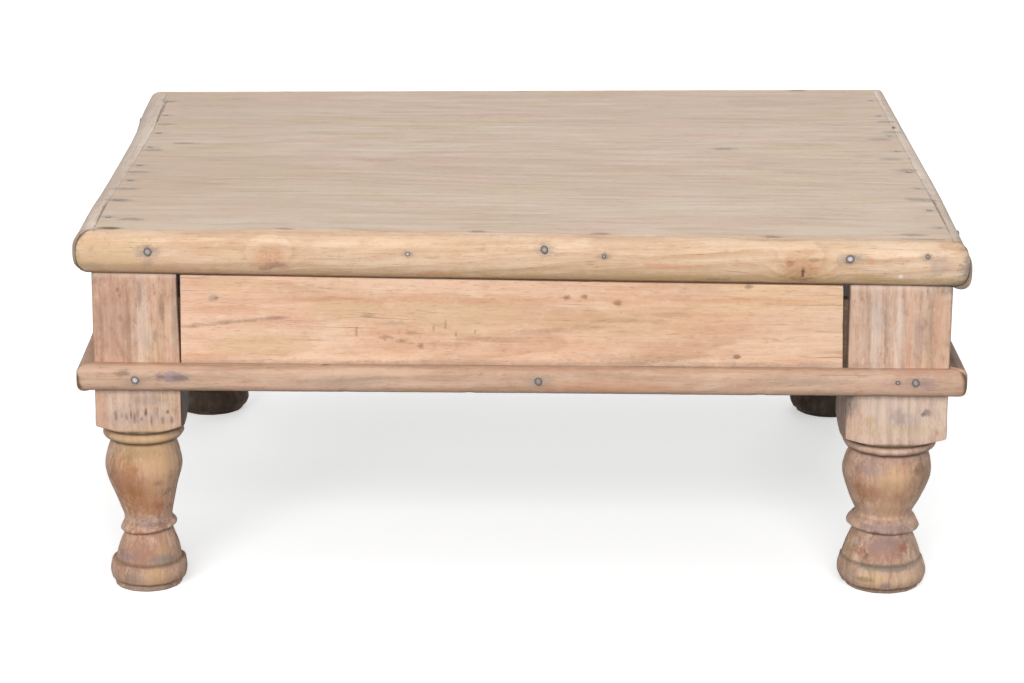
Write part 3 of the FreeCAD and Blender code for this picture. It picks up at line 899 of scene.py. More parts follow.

# %% [markdown]
# The legs have the most colours. Their posts are streaked along the grain, the left one is
# redder, and a row of dark scratches crosses its block. On the turned parts, red, grey and
# yellow patches change from one ring to the next, and they reach round the form.

# %% Marks on the legs
# The large pale patches over the two blocks are painted light, where the moulding shades them
for numbers in ((-277, 196, 34, 74, red_brown, 0.36), (-248, 186, 3.0, 9, dash_brown, 0.45),
                (-284, 186, 3, 40, dash_brown, 0.30), (-266, 190, 3, 50, dash_brown, 0.30),
                (-271, 199, 3.0, 6, dash_brown, 0.35), (-253, 180, 2.6, 9, dash_brown, 0.35),
                (-256, 190, 10, 70, bleached_and_lit, 0.22), (232, 190, 5, 70, dash_brown, 0.25),
                (246, 196, 4, 60, dash_brown, 0.25), (262, 190, 3, 64, rosy, 0.45),
                (274, 196, 5, 50, dash_brown, 0.28), (239, 190, 6, 66, bleached_and_lit, 0.25),
                (254, 192, 5, 60, bleached_and_lit, 0.22),
                (-243, 206, 3, 20, dash_brown, 0.5), (-258, 215, 3, 16, dash_brown, 0.45),
                (-262, 136, 60, 40, bleached_and_lit, 0.16), (-234.5, 200, 3, 60, dirt_and_shade_grey, 0.40),
                (-287, 132, 9, 30, rosy, 0.35), (-252, 141, 22, 7, dirt_and_shade_grey, 0.40),
                (-262, 128, 44, 12, violet_grey, 0.30), (240, 206, 12, 26, violet_grey, 0.28),
                (257, 134, 62, 44, bleached_and_lit, 0.26), (264, 127, 14, 14, violet_grey, 0.25),
                (268, 188, 10, 30, violet_grey, 0.28), (282, 200, 8, 50, rosy, 0.3),
                (223, 141, 13, 22, dirt_and_shade_grey, 0.75), (275, 134, 6, 5, violet_grey, 0.9),
                (273, 133, 3, 3, grime_and_shade_brown, 0.5), (256, 130, 12, 12, violet_grey, 0.45),
                (236, 128, 10, 6, olive_tan, 0.5), (255, 121, 50, 7, olive_tan, 0.3)):
    front_mark(post_face, *numbers)

# The row of dark scratches across the left block
for step in range(14):
    x = -276 + 3.1 * step + 1.3 * math.sin(7 * step)
    front_mark(post_face, x, 129.5 + 3.0 * math.sin(3 * step), 2.0, 6 + 3 * math.sin(5 * step),
               grime_and_shade_brown, 0.48 + 0.22 * math.sin(11 * step))

# The turned parts, whose marks reach round the form. The darker patches at the edges of the vases
# are partly stains and partly painted shade, where the round turns away from the light.
turned_face = post_face - 2
turned_mark_depth = 22.0
for numbers in ((-260, 105, 74, 28, olive_tan, 0.60), (-261, 78, 70, 66, rust_orange, 0.34),
                (-275, 76, 34, 36, rust_and_shade_brown, 0.62), (-259, 64, 36, 34, rust_and_shade_brown, 0.55),
                (-246, 90, 26, 44, warm_tan, 0.55), (-268, 101, 34, 9, olive_brown, 0.25),
                (-284, 86, 12, 40, olive_brown, 0.30), (-264, 90, 4, 5, rust_red, 0.5),
                (-249, 79, 5, 4, rust_red, 0.5), (-244, 71, 6, 7, dash_brown, 0.6),
                (-247, 60, 8, 6, rust_red, 0.55),
                (-255, 48, 30, 9, violet_grey, 0.85), (-248, 47, 14, 5, dash_brown, 0.6),
                (-266, 40, 24, 9, rosy, 0.8), (-258, 29, 84, 34, red_brown, 0.82),
                (-246, 29, 12, 20, warm_tan, 0.40), (-245, 22, 22, 8, dirt_and_shade_grey, 0.8),
                (-274, 24, 16, 8, violet_grey, 0.6), (-260, 6, 74, 20, red_brown, 0.35),
                (-267, 11, 14, 12, dirt_and_shade_grey, 0.45), (-252, 12, 20, 13, warm_tan, 0.55),
                (-259, 2, 60, 5, dirt_and_shade_grey, 0.45),
                (252, 99, 74, 10, violet_grey, 0.40), (254, 76, 74, 54, rust_orange, 0.26),
                (255, 84, 26, 20, warm_tan, 0.45), (256, 60, 22, 16, warm_tan, 0.40),
                (240, 73, 16, 14, rust_and_shade_brown, 0.45), (259, 70, 12, 9, rust_and_shade_brown, 0.30),
                (228, 80, 18, 44, rust_and_shade_brown, 0.50), (278, 84, 18, 44, olive_brown, 0.35),
                (238, 91, 24, 10, violet_grey, 0.55), (273, 90, 7, 7, olive_brown, 0.5),
                (253, 46, 56, 9, violet_grey, 0.75), (245, 43, 5, 4, grime_and_shade_brown, 0.7),
                (253, 32, 78, 24, red_brown, 0.78), (253, 36, 40, 12, violet_grey, 0.50),
                (235, 29, 7, 8, rust_red, 0.7), (239, 27, 3, 6, grime_and_shade_brown, 0.5),
                (265, 31, 8, 8, rust_red, 0.6), (253, 19.5, 74, 4.5, dirt_and_shade_grey, 0.85),
                (243, 11, 26, 12, warm_tan, 0.5), (238, 11, 14, 3, olive_brown, 0.5),
                (272, 10, 18, 14, warm_tan, 0.4), (226, 12, 12, 26, dirt_and_shade_grey, 0.5),
                (252, 7, 7, 6, violet_grey, 0.8),
                (253, 2, 70, 5, dash_brown, 0.55)):
    front_mark(turned_face, *numbers, deep=turned_mark_depth)
print("marks so far:", len(marks))

# %% [markdown]
# Three places are knots and dents full of small dark dots, which the rings swell round. Iron has
# bled into the wood round each nail: a dark rim close to the head, and a grey halo that is longer
# along the grain. A piece takes only the marks that come near its CAD box, so that its material
# stays small.

# %% Knots and iron stains
pitted = [((-169 * mm, -nose_face * mm, 243 * mm), (11 * mm, 9 * mm, 8 * mm), dash_brown, 0.35),
          ((186.5 * mm, -nose_face * mm, 238 * mm), (13 * mm, 9 * mm, 10 * mm), rust_red, 0.35),
          ((-85 * mm, -post_face * mm, 186 * mm), (26 * mm, 9 * mm, 11 * mm), dash_brown, 0.40)]
halo_reach_share = 2.3
halo_grain_share = 4.6
rim_width = 1.7 * mm
halo_share = 0.62
rim_share = 0.80
stain_shares = {"board": 0.40, "brads": 0.60, "moulding": 0.60, "edging": 0.85}
near_share = 0.8


def iron_stains():
    """The grey halo and the dark rim in the wood round each nail."""
    for node in nail_nodes:
        along_y = node.startswith(("left", "right")) and "board" not in node
        grain = Y_AXIS if along_y else X_AXIS
        strength = next(share for part, share in stain_shares.items() if part in node)
        for crown, _tip, radius in nails[node]:
            halo = [halo_reach_share * radius] * 3
            halo[grain] = halo_grain_share * radius
            rim = [radius + rim_width] * 3
            marks.append((tuple(crown), tuple(halo), iron_grey, halo_share * strength))
            marks.append((tuple(crown), tuple(rim), dash_brown, rim_share * strength))


def those_on(name, found=marks):
    """The marks that reach a CAD node."""
    low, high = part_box(name)
    return [mark for mark in found
            if all(low[axis] - near_share * mark[1][axis] < mark[0][axis]
                   < high[axis] + near_share * mark[1][axis]
                   for axis in (X_AXIS, Y_AXIS, Z_AXIS))]


iron_stains()
print("marks on the wood:", len(marks))

# %% [markdown]
# The top is four planks, side by side, with their grain along the table. Each is a board of its
# own tree, so it gets its own heart, tilt and tone. The seams stay faint, because the edges have
# been pressed together for years. The underside is darkened with painted shade.

# %% Planks
plank_pale = (shade(214, 194, 174), shade(211, 190, 169), shade(215, 195, 176), shade(210, 189, 170))
plank_warm = (shade(207, 184, 162), shade(204, 180, 158), shade(208, 186, 164), shade(204, 181, 160))
plank_shared = dict(line=shade(184, 157, 134), dusty=shade(218, 202, 185),
                    blush=shade(212, 180, 164), gold=shade(204, 184, 152))
plank_arris = 0.22 * mm
plank_spacing = 3.2 * mm
plank_wear = dict(ripple=0.40 * mm, dent=0.7 * mm, chip=0.4 * mm, side_share=0.1)
plank_shares = dict(ring_share=0.28, streak_share=0.20, fibre_share=0.20, pore_share=0.22,
                    crack_share=0.14, speck_share=0.22, tint_share=0.60, mottle_share=0.16,
                    grit_share=0.18)
heart_aside = 40 * mm
heart_depth = 60 * mm
heart_sinks = 14 * mm
tilt_degrees = {"first": 1.2, "more": 0.7, "aside": 1.5}
underside_shade_share = 0.75


def painted_shade_below(vertex):
    """Painted shade on what looks down."""
    return underside_shade_share * eased((-vertex.normal.z - 0.75) / 0.2)


def make_plank(number, name):
    low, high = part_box(name)
    flat_low = Vector((low.x, low.y, 0.0))
    flat_high = Vector((high.x, high.y, board_thickness))
    bm = make_board(flat_low, flat_high, plank_arris, plank_spacing)
    lay_in_top(bm, planked_x, planked_y)
    weather(bm, X_AXIS, number, **plank_wear)
    middle = (low + high) / 2
    side = (-1) ** number
    heart = (0.0, middle.y + side * heart_aside, middle.z - heart_depth - heart_sinks * number)
    tilt = (0.0, math.radians(tilt_degrees["first"] + tilt_degrees["more"] * number),
            math.radians(side * tilt_degrees["aside"]))
    tones = dict(plank_shared, pale=plank_pale[number - 1], warm=plank_warm[number - 1])
    wood = old_wood("plank_wood_%d" % number, X_AXIS, tones, heart, tilt,
                    patches=those_on(name), **plank_shares)
    finish_piece(name + "_wood", bm, wood, name, {"painted_shade": painted_shade_below})


for number, name in enumerate(plank_names, 1):
    make_plank(number, name)

# %% [markdown]
# A strip of edging is nailed on along each side. Its outer edge is planed to a full round, and
# its ends are cut at 45 degrees so that two strips meet in a mitre. A board is bevelled to two
# rounds first. Then its ends are slanted: each vertex keeps its share of the length, and the
# length gets shorter towards the inside. Hands have rounded the ends of the front strip more than
# those of the side strips, which therefore stand a little proud, and the right one hangs down.

# %% Edging
grain_of_side = {"front": X_AXIS, "rear": X_AXIS, "left": Y_AXIS, "right": Y_AXIS}
side_turns = {"front": 0.0, "right": 90.0, "rear": 180.0, "left": 270.0}
nose_upper_radius = 12.4 * mm
nose_lower_radius = 15.3 * mm
front_corner_radius = 5.0 * mm
side_corner_radius = 2.0 * mm
front_held_back = 1.0 * mm
sag_depths = {"left": -0.9 * mm, "right": 4.0 * mm}
sag_start_y = -100 * mm
sag_run = 142 * mm
lower_edge_reach = 5 * mm
edging_arris = 0.3 * mm
edging_spacing = 2.8 * mm
edging_segments = {"upper": 12, "lower": 14}
edging_wear = dict(ripple=0.3 * mm, dent=1.1 * mm, chip=0.5 * mm)


def turned_to(bm, side):
    """Turns a strip that was made at the front to its own side."""
    spin = Matrix.Rotation(math.radians(side_turns[side]), 3, "Z")
    bmesh.ops.rotate(bm, cent=(0.0, 0.0, 0.0), matrix=spin, verts=bm.verts)


def is_outer(edge, low, upper):
    """Whether an edge is the upper or the lower long one at the outside of a strip."""
    middle = (edge.verts[0].co + edge.verts[1].co) / 2
    outside = abs(middle.y - low.y) < touching
    above = middle.z > low.z + lower_edge_reach
    return runs_along(edge, X_AXIS) and outside and above == upper


def strip_sizes(side, low, high):
    """Half the length of a strip, its outer distance and its width, from its CAD box."""
    if grain_of_side[side] == X_AXIS:
        return high.x, max(abs(low.y), abs(high.y)), high.y - low.y
    return high.y, max(abs(low.x), abs(high.x)), high.x - low.x


def mitre(bm, half_length, outer, corner_radius, held_back=0.0):
    """Slants the ends of a strip at the front to 45 degrees, and rounds the table's corner."""
    inner_corner = Vector((half_length - corner_radius, outer - corner_radius))
    for vertex in bm.verts:
        inset = vertex.co.y + outer
        vertex.co.x *= (half_length - inset) / half_length
        out = Vector((abs(vertex.co.x), -vertex.co.y)) - inner_corner
        if out.x > 0 and out.y > 0 and out.length > 0:
            rounded = inner_corner + out * (max(out.x, out.y) / out.length)
            vertex.co.x = math.copysign(rounded.x, vertex.co.x)
            vertex.co.y = -rounded.y
        at_end = eased((abs(vertex.co.x) - half_length + 3 * corner_radius) / (3 * corner_radius))
        vertex.co.x -= math.copysign(held_back * at_end, vertex.co.x)


def sag(bm, depth):
    """The front end of a side strip has come away from its nail and hangs or stands up."""
    for vertex in bm.verts:
        outward = eased((abs(vertex.co.x) - planked_x) / strip_width)
        forward = max(0.0, (sag_start_y - vertex.co.y) / sag_run)
        vertex.co.z -= depth * outward * forward


def make_edging(side, number, **finish):
    name = side + "_edging"
    grain = grain_of_side[side]
    low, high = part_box(name)
    half_length, outer, width = strip_sizes(side, low, high)
    flat_low = Vector((-half_length, -outer, 0.0))
    flat_high = Vector((half_length, -outer + width, board_thickness))
    rounded = [(lambda edge: is_outer(edge, flat_low, True), nose_upper_radius,
                edging_segments["upper"]),
               (lambda edge: is_outer(edge, flat_low, False), nose_lower_radius,
                edging_segments["lower"])]
    bm = make_board(flat_low, flat_high, edging_arris, edging_spacing, rounded)
    if grain == X_AXIS:
        mitre(bm, half_length, outer, front_corner_radius, front_held_back)
    else:
        mitre(bm, half_length, outer, side_corner_radius)
    turned_to(bm, side)
    x_limit = planked_x if grain == Y_AXIS else half_length
    y_limit = planked_y if grain == X_AXIS else half_length
    lay_in_top(bm, x_limit, y_limit)
    if side in sag_depths:
        sag(bm, sag_depths[side])
    weather(bm, grain, number, **edging_wear)
    wood = old_wood(name + "_wood", grain, patches=those_on(name), pits=those_on(name, pitted),
                    **finish)
    finish_piece(name + "_wood", bm, wood, name, {"painted_shade": painted_shade_below})


edging_tones = dict(pale=shade(228, 200, 172), warm=shade(216, 183, 152), line=shade(182, 142, 110),
                    dusty=shade(232, 214, 194), blush=shade(218, 176, 150), gold=shade(218, 184, 136))
side_tones = dict(pale=shade(226, 209, 193), warm=shade(214, 195, 178), line=shade(182, 159, 142),
                  dusty=shade(228, 219, 209), blush=shade(218, 193, 178), gold=shade(219, 198, 168))
make_edging("front", 5, tones=edging_tones, heart=(0.0, -190 * mm, 190 * mm),
            tilt=(0.0, math.radians(2.0), 0.03), ring_share=0.40, streak_share=0.40)
make_edging("rear", 6, tones=edging_tones, heart=(0.0, 200 * mm, 180 * mm),
            tilt=(0.0, math.radians(-1.6), -0.03))
make_edging("left", 7, tones=side_tones, heart=(-250 * mm, 0.0, 190 * mm),
            tilt=(math.radians(1.8), 0.0, 0.02))
make_edging("right", 8, tones=side_tones, heart=(260 * mm, 0.0, 185 * mm),
            tilt=(math.radians(-1.5), 0.0, 0.03))

# %% [markdown]
# The lower moulding runs round the frame where aprons and legs cross. It is a narrow strip with
# both outer edges rounded by a plane, and flat between them. It is made as the edging is, with
# two different radii, and it is knocked about more, because feet and brooms reach it.

# %% Lower moulding
moulding_upper_radius = {"front": 5.8 * mm, "rear": 5.8 * mm, "left": 4.5 * mm, "right": 4.5 * mm}
moulding_lower_radius = 6.8 * mm
moulding_corner_radius = 2.0 * mm
moulding_arris = 0.4 * mm
moulding_spacing = 2.4 * mm
moulding_segments = 7
moulding_wear = dict(ripple=0.5 * mm, dent=1.3 * mm, chip=0.9 * mm)
front_slope_share = 0.004
front_level_x = -80 * mm


def make_moulding(side, number, **finish):
    name = side + "_moulding"
    grain = grain_of_side[side]
    low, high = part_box(name)
    half_length, outer, width = strip_sizes(side, low, high)
    flat_low = Vector((-half_length, -outer, low.z))
    flat_high = Vector((half_length, -outer + width, high.z))
    rounded = [(lambda edge: is_outer(edge, flat_low, True), moulding_upper_radius[side],
                moulding_segments),
               (lambda edge: is_outer(edge, flat_low, False), moulding_lower_radius,
                moulding_segments)]
    bm = make_board(flat_low, flat_high, moulding_arris, moulding_spacing, rounded)
    mitre(bm, half_length, outer, moulding_corner_radius)
    turned_to(bm, side)
    if side == "front":
        for vertex in bm.verts:
            vertex.co.z -= front_slope_share * (vertex.co.x - front_level_x)
    weather(bm, grain, number, **moulding_wear)
    wood = old_wood(name + "_wood", grain, tones=moulding_tones, patches=those_on(name), **finish)
    finish_piece(name + "_wood", bm, wood, name, {"painted_shade": painted_shade_below})


moulding_tones = dict(pale=shade(209, 175, 151), warm=shade(195, 160, 135), line=shade(156, 120, 96),
                      dusty=shade(210, 190, 172), blush=shade(202, 158, 138), gold=shade(190, 168, 142))
make_moulding("front", 9, heart=(0.0, -180 * mm, 120 * mm), tilt=(0.0, math.radians(1.4), 0.02))
make_moulding("rear", 10, heart=(0.0, 190 * mm, 110 * mm), tilt=(0.0, math.radians(-1.2), 0.02))
make_moulding("left", 11, heart=(-240 * mm, 0.0, 110 * mm), tilt=(math.radians(1.2), 0.0, 0.02))
make_moulding("right", 12, heart=(240 * mm, 0.0, 115 * mm), tilt=(math.radians(-1.4), 0.0, 0.02))

# %% [markdown]
# The aprons close the sides under the top. The front one has shrunk since it was fitted, so dark
# slanting gaps stand at its shoulders and its tenons show in them. The shoulders and the tenons
# are measured on the CAD apron, the board is made between them, and its ends are leaned over. The
# ends in the gaps, the tenons, the inner face and the underside are darkened with painted shade.

# %% Aprons
end_slides = {"front": (-1.1 * mm, -2.2 * mm)}
apron_arris = 0.6 * mm
apron_spacing = 3.0 * mm
tenon_arris = 0.5 * mm
tenon_spacing = 9 * mm
apron_wear = dict(ripple=0.4 * mm, dent=0.8 * mm, chip=0.8 * mm)
level_reach = 0.5 * mm
beyond_shoulder = 8 * mm
above_tenon = 5 * mm
inner_painted_shade = 0.8
gap_painted_shade = 0.62
tenon_painted_shade = 0.85


def apron_sizes(name, axis):
    """The box of the apron's body, how far its ends lean, and the box of its tenons."""
    points = cad_points(name)
    low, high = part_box(name)
    bottom = [point[axis] for point in points if point.z < low.z + level_reach]
    first, last = min(bottom), max(bottom)
    tenons = [point for point in points if point[axis] < first - beyond_shoulder]
    tenon_low = Vector(min(point[way] for point in tenons) for way in (X_AXIS, Y_AXIS, Z_AXIS))
    tenon_high = Vector(max(point[way] for point in tenons) for way in (X_AXIS, Y_AXIS, Z_AXIS))
    upper = [point for point in points if point.z > tenon_high.z + above_tenon]
    top_first = min(upper, key=lambda point: point[axis])
    top_last = max(upper, key=lambda point: point[axis])
    leans = ((top_first[axis] - first) / (top_first.z - low.z),
             (top_last[axis] - last) / (top_last.z - low.z))
    tenon_high[axis] = high[axis]
    body_low = low.copy()
    body_high = high.copy()
    body_low[axis] = first
    body_high[axis] = last
    return body_low, body_high, leans, tenon_low, tenon_high


def make_apron(side, number, **finish):
    name = side + "_apron"
    axis = grain_of_side[side]
    across = Y_AXIS if axis == X_AXIS else X_AXIS
    low, high, leans, tenon_low, tenon_high = apron_sizes(name, axis)
    low_slide, high_slide = end_slides.get(side, (0.0, 0.0))
    bm = make_board(low, high, apron_arris, apron_spacing)
    middle = (low[axis] + high[axis]) / 2
    for vertex in bm.verts:
        at_first = vertex.co[axis] < middle
        rise = (vertex.co.z - low.z) / (high.z - low.z)
        share = abs(vertex.co[axis] - middle) / (high[axis] - middle)
        slide = low_slide + (high_slide - low_slide) * rise if at_first else 0.0
        vertex.co[axis] += (leans[0 if at_first else 1] * (vertex.co.z - low.z) + slide) * share
        under = surface_height(vertex.co.x, vertex.co.y) - board_thickness
        vertex.co.z = low.z + rise * (under - low.z)
    body_count = len(bm.verts)
    take_in(bm, make_board(tenon_low, tenon_high, tenon_arris, tenon_spacing))
    weather(bm, axis, number, **apron_wear)
    outward = math.copysign(1.0, (low + high)[across])

    # Painted shade on the tenons, the inner face, the ends in the gaps and the underside
    def painted_shade_at(vertex):
        if vertex.index >= body_count:
            return tenon_painted_shade
        inner = inner_painted_shade * eased((-outward * vertex.normal[across] - 0.4) / 0.4)
        at_end = gap_painted_shade * eased((abs(vertex.normal[axis]) - 0.5) / 0.3)
        return max(inner, at_end, painted_shade_below(vertex))

    wood = old_wood(name + "_wood", axis, tones=apron_tones, patches=those_on(name),
                    pits=those_on(name, pitted), **finish)
    finish_piece(name + "_wood", bm, wood, name, {"painted_shade": painted_shade_at})


apron_tones = dict(pale=shade(234, 200, 172), warm=shade(224, 186, 157), line=shade(190, 144, 114),
                   dusty=shade(234, 212, 192), blush=shade(228, 180, 154), gold=shade(226, 190, 146))
make_apron("front", 13, heart=(0.0, -290 * mm, 196 * mm), tilt=(0.0, math.radians(2.6), 0.05),
           ring_width=9 * mm, ring_share=0.42, streak_share=0.30)
make_apron("rear", 14, heart=(0.0, 300 * mm, 190 * mm), tilt=(0.0, math.radians(-2.2), -0.04),
           ring_width=9 * mm)
make_apron("left", 15, heart=(-350 * mm, 0.0, 190 * mm), tilt=(math.radians(2.2), 0.0, 0.04),
           ring_width=8 * mm)
make_apron("right", 16, heart=(350 * mm, 0.0, 195 * mm), tilt=(math.radians(-2.4), 0.0, 0.04),
           ring_width=8 * mm)

# %% [markdown]
# A leg is one piece of wood: a square post above, turned on a lathe below. A lathe is a spin, so
# the outline is drawn once, as shares of the leg's radius and height, and spun round. Above the
# crease the outline runs out flat, past the faces of the post, and rounds upwards where only its
# corners reach. The front left leg is slimmer than the others, as on the real table.

# %% Outlines of the legs
slim_shares = {
    "floor": (0.860, 0.000), "foot_high": (0.875, 0.036), "band_low": (0.955, 0.046),
    "band_middle": (1.000, 0.095), "band_high": (0.970, 0.150), "bell_low": (0.865, 0.160),
    "bell_middle": (0.770, 0.250), "bell_high": (0.605, 0.341), "ring_low": (0.665, 0.350),
    "ring_middle": (0.735, 0.363), "ring_high": (0.680, 0.390), "neck_low": (0.640, 0.400),
    "neck": (0.635, 0.440), "vase_low": (0.797, 0.570), "vase_middle": (0.996, 0.728),
    "vase_shoulder": (0.940, 0.830), "vase_high": (0.840, 0.903), "groove_low": (0.800, 0.910),
    "groove_high": (0.800, 0.924), "collar_low": (1.000, 0.932), "collar_middle": (1.050, 0.955),
    "collar_high": (1.010, 0.978), "crease_low": (0.930, 0.985), "crease": (0.930, 1.000),
}
stout_shares = {
    "floor": (0.830, 0.000), "foot_high": (0.850, 0.028), "band_low": (0.940, 0.038),
    "band_middle": (1.000, 0.090), "band_high": (0.930, 0.180), "bell_low": (0.895, 0.189),
    "bell_middle": (0.800, 0.275), "bell_high": (0.640, 0.382), "ring_low": (0.765, 0.393),
    "ring_middle": (0.820, 0.410), "ring_high": (0.715, 0.458), "neck_low": (0.650, 0.468),
    "neck": (0.640, 0.500), "vase_low": (0.802, 0.596), "vase_middle": (0.985, 0.745),
    "vase_shoulder": (0.955, 0.845), "vase_high": (0.865, 0.906), "groove_low": (0.840, 0.914),
    "groove_high": (0.840, 0.928), "collar_low": (1.000, 0.937), "collar_middle": (1.050, 0.960),
    "collar_high": (1.020, 0.980), "crease_low": (0.950, 0.986), "crease": (0.950, 1.000),
}
strokes = [
    ("floor", "foot_high"), ("foot_high", "band_low"), ("band_low", "band_middle", "band_high"),
    ("band_high", "bell_low"), ("bell_low", "bell_middle", "bell_high"), ("bell_high", "ring_low"),
    ("ring_low", "ring_middle", "ring_high"), ("ring_high", "neck_low"),
    ("neck_low", "neck", "vase_low", "vase_middle", "vase_shoulder", "vase_high"),
    ("vase_high", "groove_low"), ("groove_low", "groove_high"), ("groove_high", "collar_low"),
    ("collar_low", "collar_middle", "collar_high"), ("collar_high", "crease_low"),
    ("crease_low", "crease"),
]
slim_radius = 26.5 * mm
slim_height = 116.5 * mm
stout_radius = 30.8 * mm
stout_height = 109.0 * mm
shoulder_rise = 7.0 * mm
cone_share = 0.78
cone_end = 1.5 * mm
post_arris = 1.5 * mm
turned_spacing = 1.0 * mm
post_spacing = 2.6 * mm


def stroke(points, spacing):
    """Points along a smooth line through two, three or more points, without the last one."""
    count = len(points) - 1
    out = []
    for index in range(count):
        first, last = points[index], points[index + 1]
        before = points[index - 1] if index > 0 else first * 2 - last
        after = points[index + 2] if index + 2 <= count else last * 2 - first
        steps = max(2, round((last - first).length / spacing))
        for step in range(steps):
            t = step / steps
            leave = (last - before) / 2
            arrive = (after - first) / 2
            out.append(first * (1 + 2 * t) * (1 - t) ** 2 + leave * t * (1 - t) ** 2
                       + last * t * t * (3 - 2 * t) + arrive * t * t * (t - 1))
    return out


def leg_outline(shares, radius, height, half_side, reach, top):
    """The leg's outline from the middle of its foot, up, and in to the middle of its top."""
    at = {name: Vector((out * radius, 0.0, up_share * height))
          for name, (out, up_share) in shares.items()}
    points = stroke([Vector((0.0, 0.0, 0.0)), at["floor"]], 4 * turned_spacing)
    for names in strokes:
        points += stroke([at[name] for name in names], turned_spacing)
    cone_low = Vector((half_side, 0.0, height))
    cone_high = Vector((reach - cone_end, 0.0, height + cone_share * shoulder_rise))
    shoulder = Vector((reach, 0.0, height + shoulder_rise))
    points += stroke([at["crease"], cone_low], turned_spacing)
    points += stroke([cone_low, cone_high], turned_spacing)
    points += stroke([cone_high, shoulder], turned_spacing / 2)
    points += stroke([shoulder, Vector((reach, 0.0, top))], post_spacing)
    points += stroke([Vector((reach, 0.0, top)), Vector((0.0, 0.0, top))], 3 * post_spacing)
    return points + [Vector((0.0, 0.0, top))]


print("outline strokes:", len(strokes))

# %% [markdown]
# The whole leg is spun first, the post too, as wide as its corners reach. A ray from the leg's
# axis then tells how far the square reaches in each direction, with its corner rounded, and
# everything beyond that is pressed back to it. Vertices of the square part are drawn together
# towards the corners, where the surface turns sharply and needs them most.

# %% Spin a leg and square its post
merging = 0.01 * mm
leg_merging = 0.02 * mm
post_merging = 0.05 * mm
gather_share = 0.2
leg_steps = 176


def square_reach(angle, half_width, half_depth, arris):
    """How far a square with rounded corners reaches from its middle at an angle."""
    across, deep = abs(math.cos(angle)), abs(math.sin(angle))
    to_side = half_width / max(across, 1e-6)
    to_face = half_depth / max(deep, 1e-6)
    if to_side * deep <= half_depth - arris:
        return to_side
    if to_face * across <= half_width - arris:
        return to_face
    centre = Vector((half_width - arris, half_depth - arris))
    ahead = across * centre.x + deep * centre.y
    return ahead + math.sqrt(max(0.0, ahead ** 2 - centre.length_squared + arris ** 2))


def spun(points, steps, merged):
    """Spins an outline round the Z axis, and merges the points that lie together."""
    bm = bmesh.new()
    vertices = [bm.verts.new(point) for point in points]
    edges = [bm.edges.new(pair) for pair in zip(vertices, vertices[1:])]
    bmesh.ops.spin(bm, geom=vertices + edges, cent=(0, 0, 0), axis=(0, 0, 1), dvec=(0, 0, 0),
                   angle=math.tau, steps=steps, use_merge=True)
    bmesh.ops.remove_doubles(bm, verts=bm.verts, dist=merged)
    return bm


def press_to_square(bm, half_width, half_depth, crease, reach, top):
    """Presses the spun post back to its square, and gathers its vertices at the corners."""
    for vertex in bm.verts:
        out = Vector((vertex.co.x, vertex.co.y))
        if vertex.co.z < crease - merging or out.length < touching:
            continue
        angle = math.atan2(out.y, out.x)
        gather = within((vertex.co.z - crease) / shoulder_rise) * gather_share
        angle += gather * math.sin(4 * angle)
        limit = square_reach(angle, half_width, half_depth, post_arris)
        at_top = vertex.co.z > top - touching
        length = out.length * limit / reach if at_top else min(out.length, limit)
        vertex.co.x = length * math.cos(angle)
        vertex.co.y = length * math.sin(angle)
    bmesh.ops.remove_doubles(bm, verts=bm.verts, dist=post_merging)


print("one turn of the lathe is cut into", leg_steps, "steps")

# %% [markdown]
# The lathe was a crude one, and the leg has had a hard life. Its round is faintly faceted where
# the gouge was lifted, the turned part wanders off its axis, and the ring is tilted. Dirt and
# painted shade darken the grooves of the turning. A wedge has broken off the front right leg, and
# the post of the front left one leans. Each of these is a small move of the vertices, made one
# after another.

# %% Leave the lathe's faults
facet_count = 13
facet_share = 0.45
facet_twist = 4


def facet(bm, crease):
    """Flattens the round of the turned part a little between evenly spaced ridges."""
    step = math.tau / facet_count
    for vertex in bm.verts:
        if vertex.co.z > crease - touching:
            continue
        angle = math.atan2(vertex.co.y, vertex.co.x) + facet_twist * vertex.co.z
        off_middle = angle % step - step / 2
        flat = math.cos(step / 2) / math.cos(off_middle)
        share = 1 - facet_share * (1 - flat)
        vertex.co.x *= share
        vertex.co.y *= share


# How far the turned part wanders along the table, in mm, for each height in mm
wandering_in_mm = {
    "front_left_leg": ((0, 0.9), (28, 2.0), (48, 2.0), (75, -0.5), (95, -0.5), (110, 0.0)),
    "front_right_leg": ((0, -1.7), (20, -3.0), (36, -3.0), (80, -1.2), (105, 0.0)),
    "rear_left_leg": ((0, 5.0), (40, 4.0), (80, 1.6), (105, 0.0)),
    "rear_right_leg": ((0, 0.6), (40, -0.6), (80, 0.3), (105, 0.0)),
}
ring_tilts = {"front_left_leg": 0.115, "front_right_leg": -0.05, "rear_left_leg": 0.03,
              "rear_right_leg": -0.03}
ring_spread = 5.5 * mm


def out_of_true(name, bm, middle, ring_height):
    """Tilts the ring, and moves the turned part off its axis."""
    for vertex in bm.verts:
        near = math.exp(-((vertex.co.z - ring_height) / ring_spread) ** 2)
        vertex.co.z += near * ring_tilts[name] * (vertex.co.x - middle.x)
        vertex.co.x += between(wandering_in_mm[name], vertex.co.z / mm) * mm


# Dirt and painted shade in a turned groove: a point of the outline, and how much and how far
groove_darkening = {"crease": (0.46, 2.2 * mm), "groove_high": (0.42, 2.1 * mm),
               "neck_low": (0.16, 1.8 * mm), "bell_high": (0.24, 1.4 * mm),
               "bell_low": (0.26, 1.8 * mm), "band_low": (0.28, 1.3 * mm)}


def groove_dirt_and_shade(bm, shares, height):
    """How much dirt and painted shade lies at each vertex, by its height on the leg."""
    filled = [(shares[place][1] * height, much, far) for place, (much, far) in groove_darkening.items()]
    return [sum(much * math.exp(-((vertex.co.z - level) / far) ** 2)
                for level, much, far in filled) for vertex in bm.verts]


